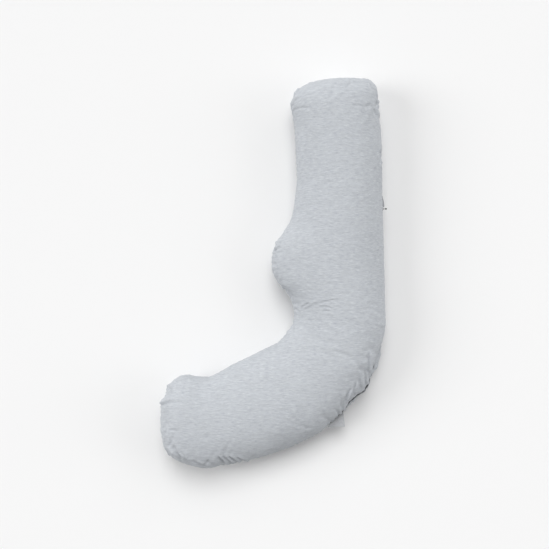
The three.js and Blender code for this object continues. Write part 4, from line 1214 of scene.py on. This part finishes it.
    def turned(edge, inward, zip_w, zrow):
        """Four more points behind an edge, turning in and up behind the panel. inward: unit plan vectors."""
        out = []
        for a, b, c, d in ((0.5, -0.45, 0.4, -0.02), (1.3, -0.55, 1.0, 0.0), (2.1, -0.1, 2.6, 0.35), (2.6, 1.6, 4.6, 0.9)):
            nn = zip_w * a + (1 - zip_w) * c
            zz = zip_w * b + (1 - zip_w) * d
            p = edge.copy()
            p[:, :2] += inward * nn[:, None]
            p[:, 2] += sg * zz
            out.append(p)
        return out

    zw = ziplike[:, 0]
    outer = turned(G[:, -1], -no, zw, None)
    inner = turned(G[:, 0], ni, np.zeros(nr), None)
    G = np.concatenate([np.stack(inner[::-1], 1), G, np.stack(outer, 1)], 1)
    pe = lambda edge, step, m: np.stack([edge + step * (i + 1) for i in range(m)], 1)
    ac_in = pat[:, 0] - pat[:, 1]
    ac_in /= np.maximum(np.linalg.norm(ac_in, axis=1), 1e-6)[:, None]
    ac_out = pat[:, -1] - pat[:, -2]
    ac_out /= np.maximum(np.linalg.norm(ac_out, axis=1), 1e-6)[:, None]
    pat = np.concatenate([pe(pat[:, 0], ac_in, 4)[:, ::-1], pat, pe(pat[:, -1], ac_out, 4)], 1)
    if not up:
        pat = pat + np.array([0.0, 1700.0])
    ob = make("cover_top" if up else "cover_bottom", G.reshape(-1, 3), grid_faces(G.shape[0], G.shape[1], not up), JERSEY, True, pat.reshape(-1, 2))
    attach(ob, "pillow")
    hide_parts("cover_top_panel" if up else "cover_bottom_panel")
    return ob, G, s_out, nc


TOP, G_TOP, S_ROW, _ = cover("top")
BOT, G_BOT, _, _ = cover("bot")

# ---------------------------------------------------------------- small hardware in a frame of its own
class Frame:
    """a along the zip, n outwards, z up; local millimetres to the row frame."""

    def __init__(self, o, t, z0=ZC):
        self.o = np.array([o[0], o[1], z0])
        t = np.array([t[0], t[1], 0.0])
        self.t = t / np.linalg.norm(t)
        self.n = np.array([-self.t[1], self.t[0], 0.0])
        self.z = np.array([0, 0, 1.0])

    def flip(self):
        """The same place with n on the other side (a mirrored frame, for a seam that runs the other way)."""
        f = Frame(self.o[:2], self.t[:2], self.o[2])
        f.n = -f.n
        return f

    def __call__(self, P):
        P = np.asarray(P, float)
        return self.o + P[..., :1] * self.t + P[..., 1:2] * self.n + P[..., 2:3] * self.z


ZF = Frame((345.823, 205.105), (0.02993142, -0.99955195))


def prisms(name, parts, mat, frame, width=0.25, segments=2, extra=None):
    """Solids extruded from outlines, edges rounded. part: (axis, outline, low, high); axis is the extrusion axis and the
    outline holds the other two coordinates in the order a, n, z. extra: a Bag of ready points in the same local frame."""
    import bmesh

    bm = bmesh.new()
    for axis, outline, lo_, hi_ in parts:
        def put(p, e):
            return (e, p[0], p[1]) if axis == "a" else (p[0], e, p[1]) if axis == "n" else (p[0], p[1], e)

        A = [bm.verts.new(put(p, lo_)) for p in outline]
        B = [bm.verts.new(put(p, hi_)) for p in outline]
        m = len(outline)
        bm.faces.new(A)
        bm.faces.new(B[::-1])
        for k in range(m):
            bm.faces.new((A[k], B[k], B[(k + 1) % m], A[(k + 1) % m]))
    bmesh.ops.recalc_face_normals(bm, faces=bm.faces)
    edges = [e for e in bm.edges if len(e.link_faces) == 2 and e.calc_face_angle(0) > math.radians(28)]
    bmesh.ops.bevel(bm, geom=edges, offset=width, segments=segments, profile=0.5, affect="EDGES", clamp_overlap=True)
    if any(f.calc_area() < 1e-7 for f in bm.faces):
        bmesh.ops.remove_doubles(bm, verts=bm.verts[:], dist=0.003)
        bmesh.ops.dissolve_degenerate(bm, edges=bm.edges[:], dist=0.003)
    if extra is not None:
        base = [bm.verts.new(v) for v in np.concatenate(extra.v)]
        for f in extra.f:
            bm.faces.new([base[i] for i in f])
    for v in bm.verts:
        v.co = Vector(frame(np.array(v.co)) * MM)
    bmesh.ops.recalc_face_normals(bm, faces=bm.faces)
    me = bpy.data.meshes.new(name)
    bm.to_mesh(me)
    bm.free()
    me.polygons.foreach_set("use_smooth", [True] * len(me.polygons))
    try:
        me.set_sharp_from_angle(angle=math.radians(42))
    except AttributeError:
        pass
    ob = bpy.data.objects.new(name, me)
    bpy.context.scene.collection.objects.link(ob)
    me.materials.append(mat)
    return ob


def take(ob, body, node, slot):
    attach(ob, body)
    if node:
        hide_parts(*([node] if isinstance(node, str) else node))
    return ob


def mirror_z(pts):
    return list(pts) + [(a, -z) for a, z in reversed(pts) if abs(z) > 1e-6]


def slider(name, frame, mat, lead, crown, body, node, slot_name):
    """Slider body: two shield-shaped wings on a wedge post, rolled flanges on the front wing, and a crown for the pull.
    lead -1: the post, at the wide end, is on the negative side."""
    shield = [(-4.7, 0.0), (-5.1, 0.7), (-5.45, 1.6), (-5.4, 2.8), (-5.0, 3.8), (-4.2, 4.4), (-3.0, 4.6), (-1.0, 4.58), (1.0, 4.4),
              (3.0, 4.1), (4.6, 3.75), (5.3, 3.3), (5.5, 2.6), (5.5, 1.2), (5.2, 0.0)]
    S = [(a * -lead, z) for a, z in mirror_z(shield)]
    fl = [(-4.9, 3.7), (-4.3, 4.35), (-3.0, 4.58), (-1.0, 4.56), (1.0, 4.38), (3.0, 4.08), (4.7, 3.7), (4.6, 3.05), (3.0, 3.35), (1.0, 3.62),
          (-1.0, 3.75), (-3.0, 3.75), (-4.1, 3.55)]
    parts = [
        ("n", S, -5.5, -4.5),
        ("n", S, 0.5, 1.6),
        ("n", [(x * -lead, z) for x, z in mirror_z([(-5.0, 0.0), (-4.7, 0.5), (-4.0, 0.62), (-3.2, 0.5), (-2.5, 0.0)])], -4.6, 0.7),
    ]
    for s in (1, -1):
        parts.append(("n", [(a * -lead, s * z) for a, z in fl], -2.6, 0.9))
    extra = Bag()
    if crown:
        arch = [(-3.9, 1.2), (-3.85, 2.4), (-3.5, 3.35), (-2.6, 3.85), (-1.2, 3.95), (0, 3.95), (1.2, 3.95), (2.6, 3.85), (3.5, 3.35), (3.85, 2.4), (3.9, 1.2)]
        t = np.linspace(0, 10, 41)
        pts = np.stack([np.interp(t, range(11), [p[0] for p in arch]), np.interp(t, range(11), [p[1] for p in arch]), np.zeros(41)], 1)
        extra.tube(pts, 0.44, 12, (0, 0, 1), flat=2.3)
        # raised rim of the front wing
        extra.tube([(a, 1.62, z) for a, z in [(p[0] * 0.82, p[1] * 0.82) for p in S]], 0.16, 6, (0, 1, 0), closed=True)
    else:
        extra.tube([(a, 1.62, z) for a, z in [(p[0] * 0.8, p[1] * 0.8) for p in S]], 0.16, 6, (0, 1, 0), closed=True)
        extra.tube([(-1.5, 1.6, 0), (-0.5, 1.9, 0), (0.5, 1.9, 0), (1.5, 1.6, 0)], 0.5, 8, (0, 0, 1), flat=1.6)
    ob = prisms(name, parts, mat, frame, 0.28, 3, extra)
    return take(ob, body, node, slot_name)


slider("slider_body", ZF, METAL_BLACK, -1, True, "slider", "zip_slider", "zip_metal")

# the pull: a wire eye through the crown and a moulded grip
bag = Bag()
eye = []
for t in np.linspace(0, 2 * np.pi, 48, endpoint=False):
    c, s_ = np.cos(t), np.sin(t)
    z = 2.2 * np.sign(c) * abs(c) ** 0.45
    n = 5.85 + 3.35 * np.sign(s_) * abs(s_) ** 0.45
    eye.append((0, n, z))
bag.tube(eye, 0.52, 10, (1, 0, 0), closed=True)
grip = [(8.9, 0.0), (8.95, 1.6), (9.3, 2.3), (10.2, 2.95), (11.6, 3.15), (13.2, 3.05), (14.2, 2.6), (14.85, 1.6), (15.0, 0.0)]
G2 = mirror_z(grip)
for s_ in (1, -1):
    for nn in (10.6, 11.5, 12.4, 13.3):
        w = 1.9 if nn < 13 else 1.5
        bag.tube([(s_ * 1.8, nn, z) for z in np.linspace(-w, w, 7)], [0.1, 0.27, 0.3, 0.3, 0.3, 0.27, 0.1], 8, (1, 0, 0))
take(prisms("pull_grip", [("a", G2, -1.85, 1.85), ("a", mirror_z([(8.2, 0), (8.25, 1.5), (8.6, 2.3), (9.8, 2.4), (10.2, 0)]), -1.0, 1.0)], PULL_BLACK, ZF, 0.55, 4, bag),
     "pull", "zip_pull", "pull_moulding")

# stops
for s_, tag in ((1, "upper"), (-1, "lower")):
    o = [(-9.6, 1.3 * s_), (-9.3, 1.0 * s_), (-7.7, 1.0 * s_), (-7.4, 1.3 * s_), (-7.4, 3.1 * s_), (-7.7, 3.4 * s_), (-9.3, 3.4 * s_), (-9.6, 3.1 * s_)]
    take(prisms("zip_top_stop_%s_piece" % tag, [("n", o, -3.0, -0.8)], METAL_BLACK, ZF, 0.3, 3), "pillow", "zip_top_stop_" + tag, "zip_metal")
_p, _n, _t = out_at(ZIP1 - 2.5)
SF = Frame(_p[0], _t[0])
take(prisms("zip_bottom_stop_piece", [
    ("n", mirror_z([(-2.5, 0), (-2.5, 2.9), (-2.0, 3.4), (2.0, 3.4), (2.5, 2.9), (2.5, 0)]), -3.0, -1.9),
    ("n", mirror_z([(-2.3, 0), (-2.3, 2.5), (-1.8, 3.0), (1.8, 3.0), (2.3, 2.5), (2.3, 0)]), -2.0, -0.5),
    ("n", [(-1.2, -2.0), (-0.6, -2.0), (-0.6, 2.0), (-1.2, 2.0)], -0.7, -0.2),
    ("n", [(0.6, -2.0), (1.2, -2.0), (1.2, 2.0), (0.6, 2.0)], -0.7, -0.2),
], METAL_BLACK, SF, 0.3, 3), "pillow", "zip_bottom_stop", "zip_metal")


# ---------------------------------------------------------------- coils, tapes, stitching
def coil_row(name, point, s0, s1, sign, phase, mat, node, slot_name, pitch=1.5, per=9):
    """One row of the nylon coil: a flattened spiral whose heads meet the other row's between them."""
    turns = (s1 - s0) / pitch
    t = np.arange(0, turns, 1 / per)
    th = 2 * np.pi * (t + phase)
    c, s_ = np.cos(th), np.sin(th)
    sup = lambda v, p: np.sign(v) * np.abs(v) ** p
    z = sign * (1.62 - 1.62 * sup(c, 0.7))
    n = -1.8 + 0.92 * sup(s_, 0.9)
    # heads are a little fatter
    r = 0.33 + 0.07 * np.exp(-(((c - 1) / 0.25) ** 2))
    b = Bag()
    b.tube(point(s0 + t * pitch + 0.12 * np.sin(th * 2), n, z), r, 5, (0.3, 0.2, 0.93))
    return take(b.build(name, mat), "pillow", node, slot_name)


def tape(name, point, s0, s1, sign, shift, mat, node, slot_name, step=4.0):
    """One woven tape: a thin strip with a doubled inner edge under the coil. shift(s): how far its outer part leans back."""
    s = np.arange(s0, s1 + 0.01, (s1 - s0) / round((s1 - s0) / step))
    prof = [(1.2, -4.02), (1.35, -4.12), (2.2, -4.15), (3.6, -4.1), (5.5, -4.1), (8.0, -4.5), (11.0, -5.5), (13.6, -6.9), (13.9, -6.7), (13.8, -6.3), (11.0, -4.9), (8.0, -3.9),
            (5.5, -3.45), (4.2, -3.38), (3.4, -3.3), (2.4, -3.22), (1.6, -3.25), (1.25, -3.4)]
    rings = []
    sh = shift(s)
    for z, n in prof:
        lean = sh * smooth((z - 2.8) / 2.4)
        rings.append(point(s, n - lean + 0.12 * noise1(s / 9.0, 41 + int(z)), np.full(len(s), sign * z)))
    b = Bag()
    b.sweep(np.stack(rings, 1))
    return take(b.build(name, mat), "pillow", node, slot_name)


def along(point, s0, s1, z, n, pitch, length, r, name, mat, slot_name):
    """A run of short stitches on a line of constant z and n."""
    b = Bag()
    for s in np.arange(s0, s1, pitch):
        u = np.array([0, 0.12, 0.35, 0.65, 0.88, 1]) * length + s
        b.tube(point(u, n + np.array([-0.35, 0.02, 0.14, 0.14, 0.02, -0.35]), np.full(6, z)), r, 5, (0, 0, 1))
    return take(b.build(name, mat), "pillow", None, slot_name)


for sg_, tag in ((1, "upper"), (-1, "lower")):
    coil_row("coil_" + tag, zip_point, -7.0, ZIP1 - 5.4, sg_, 0.0 if sg_ > 0 else 0.5, COIL_BLACK, "zip_coil_" + tag, "zip_coil")
    tape("tape_" + tag, zip_point, ZIP0, ZIP1 + 5.0, sg_, back_off if sg_ > 0 else (lambda s: 0 * s), TAPE_BLACK, "zip_tape_" + tag, "zip_tape")
    along(zip_point, -6, ZIP1 - 6, sg_ * 4.15, -3.22, 2.1, 1.5, 0.17, "coil_stitches_" + tag, THREAD_BLACK, "zip_tape")


def stitch_line(G, s_row, edge_col, step_dir, dist, s0, s1, pitch, length, r, name):
    """Topstitching on a panel, dist in from its edge column, with the needle holes sunk in."""
    cols = edge_col + step_dir * np.arange(0, 9)
    E = G[:, cols]
    seg = np.linalg.norm(np.diff(E, axis=1), axis=2)
    cum = np.concatenate([np.zeros((len(E), 1)), np.cumsum(seg, 1)], 1)
    line = np.stack([[np.interp(dist, cum[r_], E[r_, :, m]) for m in range(3)] for r_ in range(len(E))])
    nrm = normals(G)
    if G is G_BOT:
        nrm = -nrm
    k = edge_col + step_dir * 3
    nr_ = nrm[:, k]
    b = Bag()
    for s in np.arange(s0, s1, pitch):
        u = s + np.array([0, 0.1, 0.3, 0.7, 0.9, 1]) * length
        p = np.stack([np.interp(u, s_row, line[:, m]) for m in range(3)], 1)
        n = np.stack([np.interp(u, s_row, nr_[:, m]) for m in range(3)], 1)
        n /= np.linalg.norm(n, axis=1)[:, None]
        b.tube(p + n * np.array([-0.5, 0.1, 0.3, 0.3, 0.1, -0.5])[:, None], r, 6, n, flat=0.8)
    return take(b.build(name, THREAD_GREY), "pillow", None, "jersey")


stitch_line(G_TOP, S_ROW, G_TOP.shape[1] - 5, -1, 3.9, -14, ZIP1 - 1, 3.2, 2.35, 0.27, "topstitch_upper")
stitch_line(G_BOT, S_ROW, G_BOT.shape[1] - 5, -1, 3.9, -14, ZIP1 - 1, 3.2, 2.35, 0.27, "topstitch_lower")

# ---------------------------------------------------------------- zip garage: a folded hood of the cover's jersey
ga = np.concatenate([np.linspace(-41, -8.2, 42), [-7.6, -7.1, -6.85]])
gh = np.interp(ga, [-41, -34, -24, -14, -6.8], [1.5, 3.5, 5.7, 6.9, 6.95])
gw = np.interp(ga, [-41, -34, -24, -14, -6.8], [5.2, 6.4, 7.0, 7.1, 7.0])
rings = []
for i, a in enumerate(ga):
    th_ = np.linspace(0, np.pi, 25)
    roll = 1.0 if i < len(ga) - 3 else (0.9, 0.62, 0.25)[i - len(ga) + 3]
    wr = 0.25 * noise1(np.array([a / 7.0]), 61)[0]
    def arch(h, w):
        z = w * np.sign(np.cos(th_)) * np.abs(np.cos(th_)) ** 0.72
        n = 0.25 + (h - 0.25) * np.abs(np.sin(th_)) ** 0.8
        n = n + 0.28 * noise2(np.full(25, a / 6.0), z / 5.0, 62) * np.sin(th_)
        return np.stack([np.full(25, a), n, z], 1)
    half = 0.7 * roll
    mid_h, mid_w = gh[i] - 0.7 + wr, gw[i] - 0.7
    o_, i_ = arch(mid_h + half, mid_w + half), arch(max(mid_h - half, 0.35), mid_w - half)
    rings.append(np.concatenate([o_, i_[::-1]]))
b = Bag()
b.sweep(ZF(np.array(rings)))
# the hood's jersey is painted darker all over: painted shade of the hood and the gap around the slider
gar = b.build("garage_hood", GARAGE_PAINTED_SHADE)
lay = gar.data.uv_layers.new(name="pattern")
for li, l in enumerate(gar.data.loops):
    co_ = gar.data.vertices[l.vertex_index].co
    lay.data[li].uv = (co_.z * 1.2 + co_.x * 0.6 + 0.4, co_.y + 0.9)
take(gar, "pillow", "zip_garage", "jersey")
b = Bag()
for th0 in np.linspace(0.25, np.pi - 0.25, 8):
    th_ = th0 + np.linspace(-0.11, 0.11, 6)
    z = 7.0 * np.sign(np.cos(th_)) * np.abs(np.cos(th_)) ** 0.72
    n = 0.25 + 6.7 * np.abs(np.sin(th_)) ** 0.8
    sink = np.array([-0.45, 0.0, 0.12, 0.12, 0.0, -0.45])
    p = np.stack([np.full(6, -10.2), n + sink * np.sin(th0), z + sink * np.cos(th0)], 1)
    b.tube(ZF(p), 0.24, 6, (0.3, 0.95, 0.1))
for s_ in (1, -1):
    for a in np.arange(-38, -10, 3.3):
        u = a + np.array([0, 0.12, 0.35, 0.65, 0.88, 1]) * 2.3
        w = np.interp(u, [-41, -34, -24, -14, -6.8], [5.2, 6.4, 7.0, 7.1, 7.0])
        p = np.stack([u, np.full(6, 1.1), s_ * (w + np.array([-0.5, -0.02, 0.1, 0.1, -0.02, -0.5]))], 1)
        b.tube(ZF(p), 0.24, 6, (0, 0.2, 1))
take(b.build("garage_stitches", THREAD_GREY), "pillow", None, "jersey")

# ---------------------------------------------------------------- care label: a blank folded woven tab
lo_l, hi_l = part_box("care_label")
R0 = np.array([(221.6, -445.1), (211.3, -455.2), (193.6, -471.5), (176.4, -486.65)]) + (-0.176, 1.905)
F0 = np.array([(227.4, -494.4), (209.1, -495.0), (190.9, -495.6), (172.6, -496.2)]) + (-0.176, 1.905)
zl = (lo_l[2] + hi_l[2]) / 2 / MM
rings = []
for u in np.linspace(0, 1, 34):
    r_ = np.array([np.interp(u, [0, 0.28, 0.65, 1], R0[:, m]) for m in range(2)])
    f_ = np.array([np.interp(u, [0, 0.33, 0.66, 1], F0[:, m]) for m in range(2)])
    v = np.concatenate([np.linspace(0, 0.985, 22), [0.995, 1.0, 0.995], np.linspace(0.985, 0, 22)])
    side_ = np.concatenate([np.full(22, 1.0), [0.6, 0.0, -0.6], np.full(22, -1.0)])
    th_ = 0.36 + 0.10 * np.sin(np.pi * np.clip(v, 0, 1))
    wave_ = (0.55 * np.sin(u * 5.2 + 0.6) * v**1.5 + 0.35 * noise1(np.array([u * 4.0]), 71)[0] * v)
    p = r_[None] * (1 - v[:, None]) + f_[None] * v[:, None]
    rings.append(np.concatenate([p, (zl + side_ * th_ + wave_)[:, None]], 1))
b = Bag()
b.sweep(np.array(rings))
take(b.build("label_tab", LABEL), "label", "care_label", "label")
b = Bag()
for v0 in (0.93,):
    us = np.arange(0.06, 0.93, 0.058)
    for u0 in us:
        u = u0 + np.linspace(0, 0.038, 5)
        pts = []
        for x, dz in zip(u, (-0.2, 0.12, 0.2, 0.12, -0.2)):
            r_ = np.array([np.interp(x, [0, 0.28, 0.65, 1], R0[:, m]) for m in range(2)])
            f_ = np.array([np.interp(x, [0, 0.33, 0.66, 1], F0[:, m]) for m in range(2)])
            q_ = r_ * (1 - v0) + f_ * v0
            w_ = 0.55 * np.sin(x * 5.2 + 0.6) * v0**1.5 + 0.35 * noise1(np.array([x * 4.0]), 71)[0] * v0
            pts.append((q_[0], q_[1], zl + 0.4 + w_ + dz))
        b.tube(pts, 0.2, 5, (0, 0, 1))
take(b.build("label_stitches", THREAD_GREY), "label", None, "label")

# ---------------------------------------------------------------- inside: the case, its zip, and the fill
def cad_frame(node, t, out_max):
    """The zip frame of a CAD slider: origin from its own faces."""
    v = np.array([p.co for p in frame["nodes"][node].data.vertices]) / MM
    t = np.array([t[0], t[1]])
    n = np.array([t[1], -t[0]])
    a = v[:, :2] @ t
    m = (v[:, :2] @ n).max() - out_max
    o = t * (a.max() + a.min()) / 2 + n * m
    f = Frame(o, t)
    f.n = np.array([n[0], n[1], 0.0])
    return f


IF = cad_frame("inner_zip_slider", (0.04251877, -0.99909567), 1.6)


def span_of(node):
    v = np.array([p.co for p in frame["nodes"][node].data.vertices]) / MM - IF.o
    a = v @ IF.t
    return a.min(), a.max()


def inner_point(s, n, z):
    s = np.asarray(s, float)
    return IF(np.stack([s, np.broadcast_to(n, s.shape), np.broadcast_to(z, s.shape)], 1))


slider("inner_slider_body", IF, METAL_WHITE, -1, False, "inner_slider", "inner_zip_slider", "inner_zip_slider")
for sg_, tag in ((1, "upper"), (-1, "lower")):
    a0, a1 = span_of("inner_zip_coil_" + tag)
    coil_row("inner_coil_" + tag, inner_point, a0, a1, sg_, 0.0 if sg_ > 0 else 0.5, COIL_WHITE, "inner_zip_coil_" + tag, "inner_zip_coil")
    a0, a1 = span_of("inner_zip_tape_" + tag)
    tape("inner_tape_" + tag, inner_point, a0, a1, sg_, lambda s: 0 * s, TAPE_WHITE, "inner_zip_tape_" + tag, "inner_zip_tape")

CASE = Shape(7.0, 5.0)
FILL = Shape(13.5, 9.0)
i0 = near(INN, INN_S, np.array([IF(np.array([[-12.0, 0, 0]]))[0, 0], IF(np.array([[-12.0, 0, 0]]))[0, 1]]))
i1 = near(INN, INN_S, np.array([IF(np.array([[a1 + 2, 0, 0]]))[0, 0], IF(np.array([[a1 + 2, 0, 0]]))[0, 1]]))


def rows_at(qf):
    """Place of a fraction of the length in the cover's own rows, which lie closer together near the ends."""
    rq = cut_rows(BODY.Q, STEP_ALONG) / BODY.Q
    return np.interp(qf, rq, np.linspace(0, 1, len(rq)))


def inner_panel(side, shape, step, ncol, name, mat, rough_, node, slot_name, zipped):
    q = np.concatenate([[0, 2.0, 4.5], np.arange(8, shape.Q - 8, step), [shape.Q - 4.5, shape.Q - 2.0, shape.Q]])
    k = np.interp(q, shape.q, shape.k)
    s_in = np.interp(k, _kk, INN_S)
    skip = bumps(s_in, [(i0 - 12, 0.0), (i0, 5.2), (i1, 5.2), (i1 + 12, 0.0)]) if zipped else np.zeros(len(q))
    cols = cut_columns(ncol, [0, 1.5, 3.5, 6.5])
    G, cf, pat = shape.grid(side, q, cols, skip_in=skip)
    qf = np.interp(k, BODY.k, BODY.q) / BODY.Q
    G = G + bicubic(SIM[side], qf, cf) * 0.95 + bicubic(settled(side), rows_at(qf), cf)
    N = normals(G) * (1 if side == "top" else -1)
    h = rough_(pat, G)
    edge = np.minimum(np.minimum(cf, 1 - cf) * 300, np.minimum(q, shape.Q - q)[:, None])
    G = G + N * (h * smooth(edge / 6))[..., None]
    G[:, :, 2] = np.maximum(G[:, :, 2], 2.6 if zipped is not None else 5.0)
    if side == "top":
        G[:, :, 2] = np.maximum(G[:, :, 2], ZC + 0.05)
    else:
        G[:, :, 2] = np.minimum(G[:, :, 2], ZC - 0.05)
    return G, pat


def cotton_h(pat, G):
    h = 0.7 * noise2(pat[..., 0] / 38, pat[..., 1] / 21, 81) + 0.35 * noise2(pat[..., 0] / 13, pat[..., 1] / 11, 82)
    return h


for side, tag, node in (("top", "upper", "inner_case_top"), ("bot", "lower", "inner_case_bottom")):
    G, pat = inner_panel(side, CASE, 7.0, 46, tag, COTTON, cotton_h, node, "case_cotton", True)
    ob = make("case_panel_" + tag, G.reshape(-1, 3), grid_faces(G.shape[0], G.shape[1], side != "top"), COTTON, True, pat.reshape(-1, 2))
    take(ob, "pillow", node, "case_cotton")


def bead_h(pat, G):
    return 1.0 * noise2(pat[..., 0] / 9, pat[..., 1] / 9, 91) + 0.6 * noise2(pat[..., 0] / 5, pat[..., 1] / 5, 92)


V, Fc, off = [], [], 0
for side in ("top", "bot"):
    G, pat = inner_panel(side, FILL, 5.2, 58, side, BEADS, bead_h, "bead_fill", "beads", False)
    V.append(G.reshape(-1, 3))
    Fc.append(grid_faces(G.shape[0], G.shape[1], side != "top", off))
    off += G.shape[0] * G.shape[1]
fill = make("bead_mass", np.concatenate(V), np.concatenate(Fc), BEADS)
import bmesh

bm = bmesh.new()
bm.from_mesh(fill.data)
bmesh.ops.remove_doubles(bm, verts=bm.verts, dist=0.00018)
bmesh.ops.recalc_face_normals(bm, faces=bm.faces)
bm.to_mesh(fill.data)
bm.free()
take(fill, "pillow", "bead_fill", "beads")

# ---------------------------------------------------------------- floor, light, camera
def sun(name, toward, energy, angle=0.6):
    """A broad soft source far away in the direction toward."""
    L = bpy.data.lights.new(name, "SUN")
    L.energy, L.angle = energy, angle
    o = bpy.data.objects.new(name, L)
    o.rotation_euler = Vector(toward).to_track_quat("Z", "Y").to_euler()
    bpy.context.scene.collection.objects.link(o)
    return o


floor = make("floor", [(-6000, -6000, 0), (6000, -6000, 0), (6000, 6000, 0), (-6000, 6000, 0)], [(0, 1, 2, 3)], None, False)
fm = Mat("floor_white", (0.9, 0.9, 0.9, 1), 0.9)
fm.p.inputs["Specular IOR Level"].default_value = 0.1
fn = fm.noise(fm.coords(None, (3, 3, 3)), 1.0, 2.0)
fm.link(fm.mix(fn, (0.875, 0.875, 0.875, 1), (0.875, 0.875, 0.875, 1)), fm.p.inputs["Base Color"])
floor.data.materials.append(fm.m)

world = bpy.data.worlds.new("studio")
bpy.context.scene.world = world
world.use_nodes = True
world.node_tree.nodes["Background"].inputs[0].default_value = (1.0, 1.0, 1.0, 1)
world.node_tree.nodes["Background"].inputs[1].default_value = 0.263
sun("soft_left", (-0.95, 0.05, 0.6), 1.25)
sun("soft_top", (0.0, 0.62, 1.0), 1.43)
sun("soft_back", (-0.2, 0.85, 0.7), 0.35)
sun("soft_right", (0.95, 0.0, 0.48), 0.50)
sun("soft_back_right", (0.6, 0.6, 0.6), 0.35)

cam = bpy.data.cameras.new("camera")
cam.lens = 57.4
cam.sensor_width = 36
co = bpy.data.objects.new("camera", cam)
co.location = (0.0014, -0.0045, 2.88)
co.rotation_euler = (0, 0, 0)
bpy.context.scene.collection.objects.link(co)
bpy.context.scene.camera = co
bpy.context.scene.view_settings.view_transform = "Standard"
